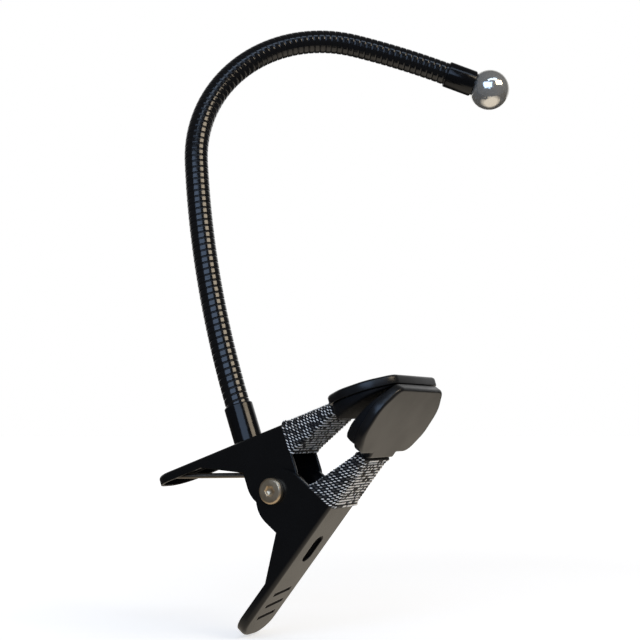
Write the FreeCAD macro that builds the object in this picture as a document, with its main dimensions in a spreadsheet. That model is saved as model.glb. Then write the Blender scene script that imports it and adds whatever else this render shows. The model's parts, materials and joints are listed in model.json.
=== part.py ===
import FreeCAD, Part

import math
import os
from types import SimpleNamespace

import Sketcher
from FreeCAD import Placement, Rotation, Vector

# Clamp-on gooseneck arm: two pressed steel levers on a pivot screw, a torsion spring that holds the jaws
# shut, braided sleeves and capped pads on the jaws, and a ribbed bendable arm that ends in a ball.
# Millimetres and degrees. A lever's own frame has X along its web towards the jaw, Z from the pivot
# out through the web, and the pivot at its origin.

DRIVING_SIZES = (
    # Lever pressing
    ("lever_width", 19.2),
    ("sheet_gauge", 1.2),
    ("ear_clearance", 0.2),
    ("web_offset", 21.7),
    ("fold_radius", 1.4),
    ("handle_length", 51.5),
    ("handle_corner", 8.0),
    ("handle_flange", 3.6),
    ("flange_taper_start", 28.0),
    ("ear_half_width", 10.8),
    ("ear_shoulder", 11.4),
    ("ear_beyond_pivot", 6.0),
    ("ear_round", 10.6),
    ("arm_length", 33.0),
    ("arm_flange_root", 10.5),
    ("arm_flange_end", 2.6),
    ("slot_place", 9.5),
    ("slot_length", 12.0),
    ("slot_width", 5.4),
    ("groove_count", 3),
    ("groove_first", 30.0),
    ("groove_spacing", 5.6),
    ("groove_length", 10.0),
    ("groove_width", 1.6),
    ("groove_depth", 0.45),
    ("groove_angle", 12.0),
    # Jaw tongue, shell and pad
    ("tongue_length", 21.0),
    ("tongue_width", 16.8),
    ("tongue_clearance", 0.05),
    ("jaw_angle", 3.2),
    ("shell_gap", 0.2),
    ("shell_length", 29.5),
    ("shell_width", 49.0),
    ("shell_neck_width", 19.6),
    ("shell_neck_length", 2.5),
    ("shell_root_width", 39.0),
    ("shell_tip_width", 36.0),
    ("shell_side_start", 11.0),
    ("shell_side_end", 21.0),
    ("shell_root_round", 7.0),
    ("shell_side_round", 10.0),
    ("shell_tip_round", 6.0),
    ("shell_skin", 1.3),
    ("shell_rim", 2.0),
    ("shell_bevel", 0.9),
    ("pad_margin", 0.9),
    ("pad_root_thickness", 5.5),
    ("pad_tip_thickness", 0.15),
    ("tip_gap", 0.3),
    # Braided sleeve
    ("sleeve_start", 11.0),
    ("sleeve_end_margin", 0.6),
    ("sleeve_wall", 0.9),
    ("sleeve_clearance", 0.1),
    ("sleeve_corner", 1.8),
    ("sleeve_low_corner", 0.7),
    ("sleeve_ridges", 9),
    ("sleeve_ridge_depth", 0.25),
    # Pivot
    ("pivot_diameter", 5.0),
    ("pivot_clearance", 0.05),
    ("pivot_head_diameter", 9.4),
    ("pivot_head_height", 2.3),
    ("pivot_head_bevel", 0.6),
    ("pivot_socket", 3.0),
    ("pivot_socket_depth", 1.4),
    ("pivot_seat", 0.05),
    ("spacer_diameter", 8.0),
    ("nut_size", 8.0),
    ("nut_height", 5.0),
    ("screw_end", 1.0),
    # Torsion spring
    ("spring_wire", 2.0),
    ("spring_diameter", 11.0),
    ("spring_pitch", 2.15),
    ("spring_turns", 3),
    ("spring_reach", 42.0),
    ("spring_sides", 6),
    ("spring_steps", 12),
    ("spring_seat", 0.1),
    # Gooseneck
    ("neck_place", 10.4),
    ("neck_angle", 39.5),
    ("neck_diameter", 9.5),
    ("turn_pitch", 2.55),
    ("turn_depth", 0.35),
    ("turns_per_link", 8),
    ("turn_sides", 10),
    ("link_core_diameter", 2.4),
    ("link_gap", 0.8),
    ("rise_links", 5),
    ("rise_angle", 13.2),
    ("crook_links", 5),
    ("crook_angle", 104.7),
    ("reach_links", 2),
    ("reach_angle", 7.3),
    # Ferrules, neck screw and ball
    ("ferrule_diameter", 11.0),
    ("ferrule_length", 15.0),
    ("neck_seat", 8.0),
    ("neck_clearance", 0.1),
    ("tip_ferrule_length", 12.5),
    ("neck_screw_diameter", 5.0),
    ("neck_screw_grip", 5.0),
    ("neck_screw_clearance", 0.05),
    ("neck_screw_head_diameter", 8.6),
    ("neck_screw_head_height", 2.8),
    ("washer_diameter", 11.0),
    ("washer_thickness", 1.0),
    ("ball_diameter", 17.0),
    ("ball_flat_diameter", 5.0),
    ("ball_shank_diameter", 6.0),
    ("ball_shank_seat", 3.5),
    ("ball_sink", 1.2),
    ("ball_clearance", 0.15),
    # Place of the whole object
    ("bisector_angle", 35.7),
    ("grip_reach", 48.0),
)

doc = FreeCAD.newDocument("gooseneck_arm_mount")
sheet = doc.addObject("Spreadsheet::Sheet", "Sizes")


class Size:
    """A number together with the sheet formula that gives it."""

    def __init__(self, value, formula):
        self.value = value
        self.formula = formula

    def __add__(self, other):
        other = as_size(other)
        return Size(self.value + other.value, f"({self.formula} + {other.formula})")

    def __sub__(self, other):
        other = as_size(other)
        return Size(self.value - other.value, f"({self.formula} - {other.formula})")

    def __mul__(self, other):
        other = as_size(other)
        return Size(self.value * other.value, f"({self.formula} * {other.formula})")

    def __truediv__(self, other):
        other = as_size(other)
        return Size(self.value / other.value, f"({self.formula} / {other.formula})")

    def __neg__(self):
        return Size(-self.value, f"(-{self.formula})")


def as_size(number):
    return number if isinstance(number, Size) else Size(float(number), repr(float(number)))


def cosine(angle):
    return Size(math.cos(math.radians(angle.value)), f"cos({angle.formula})")


def sine(angle):
    return Size(math.sin(math.radians(angle.value)), f"sin({angle.formula})")


def root(size):
    return Size(math.sqrt(size.value), f"sqrt({size.formula})")


def fill_sheet():
    """Write each driving size into the sheet and return the sizes by name."""
    sizes = {}
    for row, (alias, value) in enumerate(DRIVING_SIZES, start=1):
        sheet.set(f"A{row}", alias)
        sheet.set(f"B{row}", str(value))
        sheet.setAlias(f"B{row}", alias)
        sizes[alias] = Size(float(value), f"Sizes.{alias}")
    doc.recompute()
    return SimpleNamespace(**sizes)


dim = fill_sheet()

# The two levers are the same pressing turned over, so each stands half a step to one side and its
# ears pass beside the other's.
SIDE_STEP = (dim.sheet_gauge + dim.ear_clearance) / 2
NECK_RADIUS = dim.neck_diameter / 2
BALL_STANDOFF = dim.ball_diameter / 2 - dim.ball_sink
LINK_COUNT = int((dim.rise_links + dim.crook_links + dim.reach_links).value)


def bind(thing, prop, size):
    thing.setExpression(prop, as_size(size).formula)


def new_body(label, placement):
    body = doc.addObject("PartDesign::Body", label)
    body.Label = label
    body.Placement = placement
    return body


def origin_part(body, role):
    return next(item for item in body.Origin.OriginFeatures if item.Role == role)


def place_sketch(body, name, plane, lift):
    sketch = body.newObject("Sketcher::SketchObject", name)
    sketch.AttachmentSupport = [(origin_part(body, plane), "")]
    sketch.MapMode = "FlatFace"
    if lift is not None:
        bind(sketch, "AttachmentOffset.Base.z", lift)
    return sketch


def tie_point(sketch, geometry, vertex, x, y):
    """Tie one point of a sketch to its two sizes."""
    for kind, axis, size in (("DistanceX", -2, as_size(x)), ("DistanceY", -1, as_size(y))):
        if size.value == 0.0:
            sketch.addConstraint(Sketcher.Constraint("PointOnObject", geometry, vertex, axis))
            continue
        index = sketch.addConstraint(Sketcher.Constraint(kind, -1, 1, geometry, vertex, size.value))
        sketch.setExpression(f"Constraints[{index}]", size.formula)


def add_outline(sketch, corners):
    """Add a closed outline of straight edges with every corner tied to the sheet."""
    first = sketch.GeometryCount
    points = [Vector(as_size(x).value, as_size(y).value, 0) for x, y in corners]
    count = len(points)
    for index in range(count):
        sketch.addGeometry(Part.LineSegment(points[index], points[(index + 1) % count]))
    for index in range(count):
        following = first + (index + 1) % count
        sketch.addConstraint(Sketcher.Constraint("Coincident", first + index, 2, following, 1))
    for index, (x, y) in enumerate(corners):
        tie_point(sketch, first + index, 1, x, y)


def outline(body, name, plane, corners, lift=None):
    sketch = place_sketch(body, name, plane, lift)
    add_outline(sketch, corners)
    return sketch


def add_circle(sketch, x, y, radius):
    centre = Vector(as_size(x).value, as_size(y).value, 0)
    index = sketch.addGeometry(Part.Circle(centre, Vector(0, 0, 1), radius.value))
    tie_point(sketch, index, 3, x, y)
    constraint = sketch.addConstraint(Sketcher.Constraint("Radius", index, radius.value))
    sketch.setExpression(f"Constraints[{constraint}]", radius.formula)


def circle(body, name, plane, x, y, radius, lift=None):
    sketch = place_sketch(body, name, plane, lift)
    add_circle(sketch, x, y, radius)
    return sketch


def hexagon(size):
    """Corners of a hexagon, flat to flat across size."""
    reach = size / math.sqrt(3.0)
    turns = [math.radians(60 * step) for step in range(6)]
    return [(reach * math.cos(turn), reach * math.sin(turn)) for turn in turns]


def pad(body, sketch, length, below=None, symmetric=False):
    feature = body.newObject("PartDesign::Pad", sketch.Name + "_pad")
    feature.Profile = sketch
    bind(feature, "Length", length)
    if below is not None:
        feature.SideType = "Two sides"
        bind(feature, "Length2", below)
    if symmetric:
        feature.SideType = "Symmetric"
    doc.recompute()
    return feature


def cut(body, sketch, length=None, upward=False):
    """Cut a sketch's outline out of the body, both ways through it or to a depth."""
    before = body.Shape.Volume
    feature = body.newObject("PartDesign::Pocket", sketch.Name + "_cut")
    feature.Profile = sketch
    if length is None:
        feature.SideType = "Symmetric"
        feature.Type = "ThroughAll"
    else:
        bind(feature, "Length", length)
        feature.Reversed = upward
    doc.recompute()
    if not body.Shape.Volume < before:
        raise RuntimeError(f"{sketch.Name} cuts nothing")
    return feature


def dress_edges(body, kind, name, test, prop, size):
    """Round or bevel every edge of the body's tip that passes the test."""
    base = body.Tip
    names = [f"Edge{i}" for i, edge in enumerate(base.Shape.Edges, start=1) if test(edge)]
    if not names:
        raise RuntimeError(f"{name} finds no edge")
    feature = body.newObject(kind, name)
    feature.Base = (base, names)
    bind(feature, prop, size)
    doc.recompute()
    return feature


def round_edges(body, name, test, radius):
    return dress_edges(body, "PartDesign::Fillet", name, test, "Radius", radius)


def bevel_edges(body, name, test, size):
    return dress_edges(body, "PartDesign::Chamfer", name, test, "Size", size)


def hollow(body, name, is_open, wall):
    """Leave a wall inside the body's faces, with the open faces taken away."""
    base = body.Tip
    names = [f"Face{i}" for i, face in enumerate(base.Shape.Faces, start=1) if is_open(face)]
    feature = body.newObject("PartDesign::Thickness", name)
    feature.Base = (base, names)
    feature.Reversed = True
    bind(feature, "Value", wall)
    doc.recompute()
    return feature


def near(value, size):
    return abs(value - as_size(size).value) < 0.01


def lies_at(item, **places):
    """Whether every corner of an edge or face lies at the given x, y or z."""
    ends = [vertex.Point for vertex in item.Vertexes]
    return all(near(getattr(end, axis), size) for end in ends for axis, size in places.items())


def any_place(item, places):
    return any(lies_at(item, **place) for place in places)


def turned(label, corners, placement):
    """A body turned about its own Z axis from (radius, height) corners."""
    body = new_body(label, placement)
    sketch = outline(body, label + "_profile", "XZ_Plane", corners)
    feature = body.newObject("PartDesign::Revolution", label + "_turning")
    feature.Profile = sketch
    feature.ReferenceAxis = (sketch, ["V_Axis"])
    feature.Angle = 360.0
    doc.recompute()
    return body


def closed_half_angle():
    """Angle of each web from the bisector with the jaw tips a tip gap apart."""
    tilt = math.radians(dim.jaw_angle.value)
    along = dim.shell_length.value
    inward = dim.shell_rim.value
    reach = dim.arm_length.value + along * math.cos(tilt) - inward * math.sin(tilt)
    height = dim.web_offset.value - along * math.sin(tilt) - inward * math.cos(tilt)
    slack = math.asin(dim.tip_gap.value / 2 / math.hypot(reach, height))
    return math.degrees(math.atan2(height, reach) - slack)


def lever_places():
    """Placements of the upper and the lower lever's own frames, and of the pivot."""
    bisector = math.radians(dim.bisector_angle.value)
    pivot = Vector(math.cos(bisector), 0, math.sin(bisector)) * -dim.grip_reach.value
    half = closed_half_angle()
    across = Vector(0, 1, 0)
    turn_over = Rotation(Vector(1, 0, 0), 180)
    upper = Rotation(across, half - dim.bisector_angle.value)
    lower = Rotation(across, -half - dim.bisector_angle.value).multiply(turn_over)
    return Placement(pivot, upper), Placement(pivot, lower), Placement(pivot, Rotation())


UPPER, LOWER, PIVOT = lever_places()
JAW = Placement(
    Vector(dim.arm_length.value, SIDE_STEP.value, dim.web_offset.value),
    Rotation(Vector(0, 1, 0), dim.jaw_angle.value),
)


def make_lever(label, placement):
    """A pressed channel: handle, ears, jaw arm and the tongue that enters the jaw shell."""
    body = new_body(label, placement)
    half = dim.lever_width / 2
    gauge = dim.sheet_gauge
    low_side = SIDE_STEP - half
    high_side = SIDE_STEP + half
    handle_end = -dim.handle_length
    bottom = -dim.ear_beyond_pivot
    web = dim.web_offset
    spare = gauge

    # Plan of the folded sheet, raised to the web.
    plan = [
        (handle_end, low_side),
        (dim.arm_length, low_side),
        (dim.arm_length, high_side),
        (handle_end, high_side),
    ]
    pad(body, outline(body, label + "_plan", "XY_Plane", plan, bottom), web - bottom)

    # Hollowed to the sheet's gauge, open below and at the jaw end.
    open_faces = [{"z": bottom}, {"x": dim.arm_length}]
    hollow(body, label + "_channel", lambda face: any_place(face, open_faces), gauge)
    for wall, name in ((as_size(0), "outer"), (gauge, "inner")):
        end = handle_end + wall
        ends = [{"x": end, "y": low_side + wall}, {"x": end, "y": high_side - wall}]
        radius = dim.handle_corner - wall
        round_edges(body, f"{label}_{name}_round", lambda edge: any_place(edge, ends), radius)

    def is_fold(edge):
        return lies_at(edge, z=web) and not lies_at(edge, x=dim.arm_length)

    round_edges(body, label + "_folds", is_fold, dim.fold_radius)

    # Lower edge of the flanges on each side of the ears.
    handle_side = [
        (handle_end - spare, web - dim.handle_flange),
        (-dim.flange_taper_start, web - dim.handle_flange),
        (-dim.ear_half_width, web - dim.ear_shoulder),
        (-dim.ear_half_width, bottom - spare),
        (handle_end - spare, bottom - spare),
    ]
    cut(body, outline(body, label + "_handle_edge", "XZ_Plane", handle_side))
    arm_side = [
        (dim.ear_half_width, web - dim.arm_flange_root),
        (dim.arm_length, web - dim.arm_flange_end),
        (dim.arm_length + spare, web - dim.arm_flange_end),
        (dim.arm_length + spare, bottom - spare),
        (dim.ear_half_width, bottom - spare),
    ]
    cut(body, outline(body, label + "_arm_edge", "XZ_Plane", arm_side))
    ear_ends = [{"x": -dim.ear_half_width, "z": bottom}, {"x": dim.ear_half_width, "z": bottom}]
    round_edges(body, label + "_ear_round", lambda edge: any_place(edge, ear_ends), dim.ear_round)
    bore = dim.pivot_diameter / 2 + dim.pivot_clearance
    cut(body, circle(body, label + "_pivot_bore", "XZ_Plane", 0, 0, bore))

    make_slot(body, label)
    for index in range(int(dim.groove_count.value)):
        make_groove(body, label, index)

    # Tongue, bent in from the web towards the other jaw.
    run_x = dim.tongue_length * cosine(dim.jaw_angle)
    run_z = dim.tongue_length * sine(dim.jaw_angle)
    deep_x = gauge * sine(dim.jaw_angle)
    deep_z = gauge * cosine(dim.jaw_angle)
    tongue = [
        (dim.arm_length - gauge, web),
        (dim.arm_length, web),
        (dim.arm_length + run_x, web - run_z),
        (dim.arm_length + run_x - deep_x, web - run_z - deep_z),
        (dim.arm_length - deep_x, web - deep_z),
        (dim.arm_length - gauge, web - deep_z),
    ]
    side = outline(body, label + "_tongue", "XZ_Plane", tongue, -SIDE_STEP)
    pad(body, side, dim.tongue_width, symmetric=True)
    return body


def make_slot(body, label):
    """Oblong hole in the web: the arm's screw goes through it, or it hangs on a nail."""
    sketch = place_sketch(body, label + "_slot", "XY_Plane", dim.web_offset)
    radius = dim.slot_width / 2
    half_run = dim.slot_length / 2 - radius
    ends = [-dim.slot_place - half_run, -dim.slot_place + half_run]
    for end, start_angle in zip(ends, (90, 270)):
        centre = Vector(end.value, SIDE_STEP.value, 0)
        arc = Part.ArcOfCircle(
            Part.Circle(centre, Vector(0, 0, 1), radius.value),
            math.radians(start_angle),
            math.radians(start_angle + 180),
        )
        sketch.addGeometry(arc)
    left, right = sketch.Geometry
    sketch.addGeometry(Part.LineSegment(left.EndPoint, right.StartPoint))
    sketch.addGeometry(Part.LineSegment(right.EndPoint, left.StartPoint))
    for arc, arc_end, line, line_end in ((0, 2, 2, 1), (1, 1, 2, 2), (1, 2, 3, 1), (0, 1, 3, 2)):
        sketch.addConstraint(Sketcher.Constraint("Tangent", arc, arc_end, line, line_end))
    for index, end in enumerate(ends):
        tie_point(sketch, index, 3, end, SIDE_STEP)
    constraint = sketch.addConstraint(Sketcher.Constraint("Radius", 0, radius.value))
    sketch.setExpression(f"Constraints[{constraint}]", radius.formula)
    cut(body, sketch, dim.sheet_gauge * 2)


def make_groove(body, label, index):
    """One of the slanted grip grooves near the handle's end."""
    middle = -dim.groove_first - dim.groove_spacing * index
    along_x = dim.groove_length / 2 * sine(dim.groove_angle)
    along_y = dim.groove_length / 2 * cosine(dim.groove_angle)
    aside_x = dim.groove_width / 2 * cosine(dim.groove_angle)
    aside_y = dim.groove_width / 2 * sine(dim.groove_angle)
    corners = [
        (middle - along_x - aside_x, SIDE_STEP + along_y - aside_y),
        (middle - along_x + aside_x, SIDE_STEP + along_y + aside_y),
        (middle + along_x + aside_x, SIDE_STEP - along_y + aside_y),
        (middle + along_x - aside_x, SIDE_STEP - along_y - aside_y),
    ]
    sketch = outline(body, f"{label}_groove_{index + 1}", "XY_Plane", corners, dim.web_offset)
    cut(body, sketch, dim.groove_depth)


def jaw_outline(margin):
    """Corners of the spade-shaped jaw, half on each side, drawn in by a margin."""
    half = [
        (dim.shell_neck_length + margin, dim.shell_root_width / 2 - margin),
        (dim.shell_side_start, dim.shell_width / 2 - margin),
        (dim.shell_side_end, dim.shell_width / 2 - margin),
        (dim.shell_length - margin, dim.shell_tip_width / 2 - margin),
    ]
    return half


def mirrored(half):
    return half + [(x, -y) for x, y in reversed(half)]


def round_jaw(body, label, half):
    """Round the upright corners of a jaw piece: root, sides and tip."""
    rounds = (dim.shell_root_round, dim.shell_side_round, dim.shell_side_round, dim.shell_tip_round)
    names = ("root", "side_start", "side_end", "tip")
    for (x, y), radius, name in zip(half, rounds, names):
        places = [{"x": x, "y": y}, {"x": x, "y": -y}]
        round_edges(body, f"{label}_{name}_round", lambda edge: any_place(edge, places), radius)


def make_shell(label, lever_place):
    """Moulded cap with a blind socket that the lever's tongue pushes into."""
    body = new_body(label, lever_place.multiply(JAW))
    half = jaw_outline(as_size(0))
    neck = [(dim.shell_gap, dim.shell_neck_width / 2), (dim.shell_neck_length, dim.shell_neck_width / 2)]
    plan = outline(body, label + "_plan", "XY_Plane", mirrored(neck + half))
    pad(body, plan, dim.shell_skin, below=dim.shell_rim)
    round_jaw(body, label, half)
    bevel_edges(body, label + "_bevel", lambda edge: lies_at(edge, z=dim.shell_skin), dim.shell_bevel)
    half_socket = dim.tongue_width / 2 + dim.tongue_clearance
    socket_end = dim.tongue_length + dim.tongue_clearance
    socket = [
        (-dim.shell_skin, -half_socket),
        (socket_end, -half_socket),
        (socket_end, half_socket),
        (-dim.shell_skin, half_socket),
    ]
    sketch = outline(body, label + "_socket", "XY_Plane", socket, dim.tongue_clearance)
    cut(body, sketch, dim.sheet_gauge + dim.tongue_clearance * 2)
    return body


def make_pad(label, lever_place):
    """Soft pad on the shell's inner face, thick at the root and thin at the tip."""
    body = new_body(label, lever_place.multiply(JAW))
    half = jaw_outline(dim.pad_margin)
    rim = -dim.shell_rim
    plan = outline(body, label + "_plan", "XY_Plane", mirrored(half), rim - dim.pad_root_thickness)
    pad(body, plan, dim.pad_root_thickness)
    round_jaw(body, label, half)
    root = dim.shell_neck_length + dim.pad_margin
    tip = dim.shell_length
    slope = [
        (root, rim - dim.pad_root_thickness),
        (tip, rim - dim.pad_tip_thickness),
        (tip, rim - dim.pad_root_thickness * 2),
        (root, rim - dim.pad_root_thickness * 2),
    ]
    cut(body, outline(body, label + "_slope", "XZ_Plane", slope))
    return body


def make_feature(label, shape, placement):
    feature = doc.addObject("Part::Feature", label)
    feature.Label = label
    feature.Shape = shape
    feature.Placement = placement
    return feature


def flat_face(corners):
    return Part.Face(Part.makePolygon(corners + corners[:1]))


def side_faces(first, second, third, fourth):
    """One face over four corners that lie in a plane, or else two."""
    normal = (second - first).cross(third - first).normalize()
    if abs(normal.dot(fourth - first)) < 1e-6:
        return [flat_face([first, second, third, fourth])]
    return [flat_face([first, second, third]), flat_face([first, third, fourth])]


def solid_between(rings):
    """A solid with flat sides from each ring of corners to the next, closed at both ends."""
    faces = [flat_face(rings[0]), flat_face(rings[-1])]
    count = len(rings[0])
    for low, high in zip(rings, rings[1:]):
        for step in range(count):
            after = (step + 1) % count
            faces += side_faces(low[step], low[after], high[after], high[step])
    return Part.Solid(Part.Shell(faces))


def arm_ring(x, half_width, bottom, top, low_corner, top_corner):
    """A ring across the jaw arm at a distance x from the pivot, with its corners cut off."""
    points = [(half_width - low_corner, bottom)]
    if low_corner > 0:
        points.append((half_width, bottom + low_corner))
    points += [(half_width, top - top_corner), (half_width - top_corner, top)]
    points += [(-across, height) for across, height in reversed(points)]
    return [Vector(x, SIDE_STEP.value + across, height) for across, height in points]


def make_sleeve(label, lever_place):
    """Braided sleeve drawn over the jaw arm, with one low ridge for each row of the braid."""
    start = dim.sleeve_start.value
    end = dim.arm_length.value - dim.sleeve_end_margin.value
    web = dim.web_offset.value
    clearance = dim.sleeve_clearance.value
    wall = dim.sleeve_wall.value
    slope = (dim.arm_flange_root.value - dim.arm_flange_end.value) / (
        dim.arm_length.value - dim.ear_half_width.value
    )

    def ring(x, grow, low_corner, top_corner):
        flange = dim.arm_flange_root.value - slope * (x - dim.ear_half_width.value)
        half_width = dim.lever_width.value / 2 + grow
        return arm_ring(x, half_width, web - flange - grow, web + grow, low_corner, top_corner)

    rows = int(dim.sleeve_ridges.value) * 2
    rings = []
    for step in range(rows + 1):
        drawn_in = 0.0 if step % 2 else dim.sleeve_ridge_depth.value
        place = start + (end - start) * step / rows
        grow = clearance + wall - drawn_in
        rings.append(ring(place, grow, dim.sleeve_low_corner.value, dim.sleeve_corner.value))
    corner = dim.sleeve_corner.value - wall
    inner_rings = [ring(place, clearance, 0.0, corner) for place in (start - wall, end + wall)]
    return make_feature(label, solid_between(rings).cut(solid_between(inner_rings)), lever_place)


def pivot_frame(height):
    """A frame on the pivot axis with Z away from the screw's head, at a height along it."""
    turn = Rotation(Vector(1, 0, 0), -90)
    return PIVOT.multiply(Placement(Vector(0, height.value, 0), turn))


# Outer faces of the ears, measured from the middle of the clamp.
EAR_OUTER = dim.lever_width / 2 + SIDE_STEP
EAR_INNER = dim.lever_width / 2 - SIDE_STEP - dim.sheet_gauge


def make_pivot_screw():
    radius = dim.pivot_diameter / 2
    head = dim.pivot_head_diameter / 2
    height = dim.pivot_head_height
    length = EAR_OUTER * 2 + dim.pivot_seat * 2 + dim.nut_height + dim.screw_end
    corners = [
        (as_size(0), -height),
        (head - dim.pivot_head_bevel, -height),
        (head, -height + dim.pivot_head_bevel),
        (head, as_size(0)),
        (radius, as_size(0)),
        (radius, length),
        (as_size(0), length),
    ]
    body = turned("pivot_screw", corners, pivot_frame(-EAR_OUTER - dim.pivot_seat))
    socket = outline(body, "pivot_socket", "XY_Plane", hexagon(dim.pivot_socket), -height)
    cut(body, socket, dim.pivot_socket_depth, upward=True)
    return body


def make_spacer():
    """Tube between the inner ears that the spring's coil sits round."""
    bore = dim.pivot_diameter / 2 + dim.pivot_clearance
    half = EAR_INNER - dim.pivot_seat
    corners = [
        (bore, -half),
        (dim.spacer_diameter / 2, -half),
        (dim.spacer_diameter / 2, half),
        (bore, half),
    ]
    return turned("pivot_spacer", corners, pivot_frame(as_size(0)))


def make_nut():
    body = new_body("pivot_nut", pivot_frame(EAR_OUTER + dim.pivot_seat))
    sketch = outline(body, "pivot_nut_plan", "XY_Plane", hexagon(dim.nut_size))
    add_circle(sketch, 0, 0, dim.pivot_diameter / 2 + dim.pivot_clearance)
    pad(body, sketch, dim.nut_height)
    return body


def spring_leg_angle():
    """Polar angle, in a lever's frame, at which a leg leaves the coil for its seat under the web."""
    radius = dim.spring_diameter.value / 2
    wire = dim.spring_wire.value / 2
    seat_height = dim.web_offset.value - dim.sheet_gauge.value - wire - dim.spring_seat.value
    reach = dim.spring_reach.value
    distance = math.hypot(reach, seat_height)
    angle = math.atan2(seat_height, -reach) - math.acos(radius / distance)
    length = math.sqrt(distance * distance - radius * radius)
    return math.degrees(angle), length


def make_spring():
    """Close coil on the spacer with one leg under each handle, as one wire with flat sides."""
    radius = dim.spring_diameter.value / 2
    leg_angle, leg_length = spring_leg_angle()
    half = closed_half_angle()
    bisector = dim.bisector_angle.value
    start = leg_angle + bisector - half
    end = bisector + half - leg_angle
    turns = dim.spring_turns.value + (start - end) / 360
    slope = dim.spring_pitch.value / (2 * math.pi * radius)
    wire = dim.spring_wire.value / 2
    sides = int(dim.spring_sides.value)

    def ring(turn, beyond):
        """Section of the wire at an angle round the coil, or beyond it along a leg."""
        outward = Vector(math.cos(turn), math.sin(turn), 0)
        heading = Vector(-math.sin(turn), math.cos(turn), slope).normalize()
        upright = heading.cross(outward)
        centre = outward * radius + Vector(0, 0, slope * radius * turn) + heading * beyond
        corners = []
        for side in range(sides):
            angle = 2 * math.pi * side / sides
            corners.append(centre + outward * (wire * math.cos(angle)) + upright * (wire * math.sin(angle)))
        return corners

    steps = math.ceil(turns * dim.spring_steps.value)
    last = 2 * math.pi * turns
    coil = [ring(last * step / steps, 0.0) for step in range(steps + 1)]
    solid = solid_between([ring(0.0, -leg_length)] + coil + [ring(last, leg_length)])
    middle = dim.spring_pitch.value * turns / 2
    lay_down = Placement(Vector(0, -middle, 0), Rotation(Vector(1, 0, 0), -90))
    swing = Placement(Vector(), Rotation(Vector(0, 1, 0), -start))
    return make_feature("torsion_spring", solid, PIVOT.multiply(swing).multiply(lay_down))


NECK_BASE = UPPER.multiply(
    Placement(
        Vector(-dim.neck_place.value, SIDE_STEP.value, dim.web_offset.value),
        Rotation(Vector(0, 0, 1), dim.neck_angle.value),
    )
)


def turn_bends():
    """How far each turn of the neck leans over, in degrees, from the foot up."""
    bends = []
    for links, bend in (
        (dim.rise_links, dim.rise_angle),
        (dim.crook_links, dim.crook_angle),
        (dim.reach_links, dim.reach_angle),
    ):
        turns = int((links * dim.turns_per_link).value)
        bends += [bend.value / turns] * turns
    return bends


def along(distance):
    return Placement(Vector(0, 0, distance), Rotation())


def neck_frames():
    """A frame at the crest of each turn, with Z along the neck, and one at the neck's shown end."""
    frames = []
    end = NECK_BASE.multiply(along(dim.ferrule_length.value))
    half_turn = along(dim.turn_pitch.value / 2)
    for bend in TURN_BENDS:
        lean = Placement(Vector(), Rotation(Vector(0, 1, 0), bend / 2))
        crest = end.multiply(lean).multiply(half_turn)
        frames.append(crest)
        end = crest.multiply(half_turn).multiply(lean)
    return frames, end


TURN_BENDS = turn_bends()
TURN_FRAMES, NECK_END = neck_frames()


def round_ring(frame, radius, height):
    sides = int(dim.turn_sides.value)
    turns = [2 * math.pi * (step + 0.5) / sides for step in range(sides)]
    return [
        frame.multVec(Vector(radius * math.cos(turn), radius * math.sin(turn), height))
        for turn in turns
    ]


def valley_ring(frame, bend, side):
    """Corners of the valley above (side 1) or below (side -1) a turn, on the slant that it shares."""
    sides = int(dim.turn_sides.value)
    crest = NECK_RADIUS.value
    half = dim.turn_pitch.value / 2
    fall = dim.turn_depth.value / half
    corners = []
    for step in range(sides):
        turn = 2 * math.pi * (step + 0.5) / sides
        slant = math.cos(turn) * math.tan(math.radians(bend / 2))
        height = (half - crest * slant) / (1 - fall * slant)
        radius = crest - fall * height
        corners.append(
            frame.multVec(Vector(radius * math.cos(turn), radius * math.sin(turn), side * height))
        )
    return corners


def make_link(index):
    """One stretch of the gooseneck: a ridge for each turn, drawn in to a core where it bends."""
    turns = int(dim.turns_per_link.value)
    first = index * turns
    last = first + turns - 1
    half = dim.turn_pitch.value / 2
    valley = NECK_RADIUS.value - dim.turn_depth.value
    core = dim.link_core_diameter.value / 2
    core_height = half - dim.link_gap.value / 2
    seated = half + dim.neck_seat.value - dim.neck_clearance.value
    if index == 0:
        rings = [round_ring(TURN_FRAMES[first], valley, -height) for height in (seated, half)]
    else:
        rings = [round_ring(TURN_FRAMES[first], core, -core_height)]
    for turn in range(first, last + 1):
        rings.append(round_ring(TURN_FRAMES[turn], NECK_RADIUS.value, 0))
        if turn < last:
            rings.append(valley_ring(TURN_FRAMES[turn], TURN_BENDS[turn], 1))
    if index == LINK_COUNT - 1:
        rings += [round_ring(TURN_FRAMES[last], valley, height) for height in (half, seated)]
    else:
        rings.append(round_ring(TURN_FRAMES[last], core, core_height))
    return make_feature(f"neck_link_{index + 1:02d}", solid_between(rings), Placement())


def make_base_ferrule():
    """Turned cap at the arm's foot: the neck enters its top, the neck screw its underside."""
    bore = NECK_RADIUS + dim.neck_clearance
    hole = dim.neck_screw_diameter / 2 + dim.neck_screw_clearance
    top = dim.ferrule_length
    neck_floor = top - dim.neck_seat
    hole_end = dim.neck_screw_grip + dim.neck_screw_clearance
    outer = dim.ferrule_diameter / 2
    corners = [
        (hole, as_size(0)),
        (outer, as_size(0)),
        (outer, top),
        (bore, top),
        (bore, neck_floor),
        (as_size(0), neck_floor),
        (as_size(0), hole_end),
        (hole, hole_end),
    ]
    return turned("neck_base_ferrule", corners, NECK_BASE)


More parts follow.
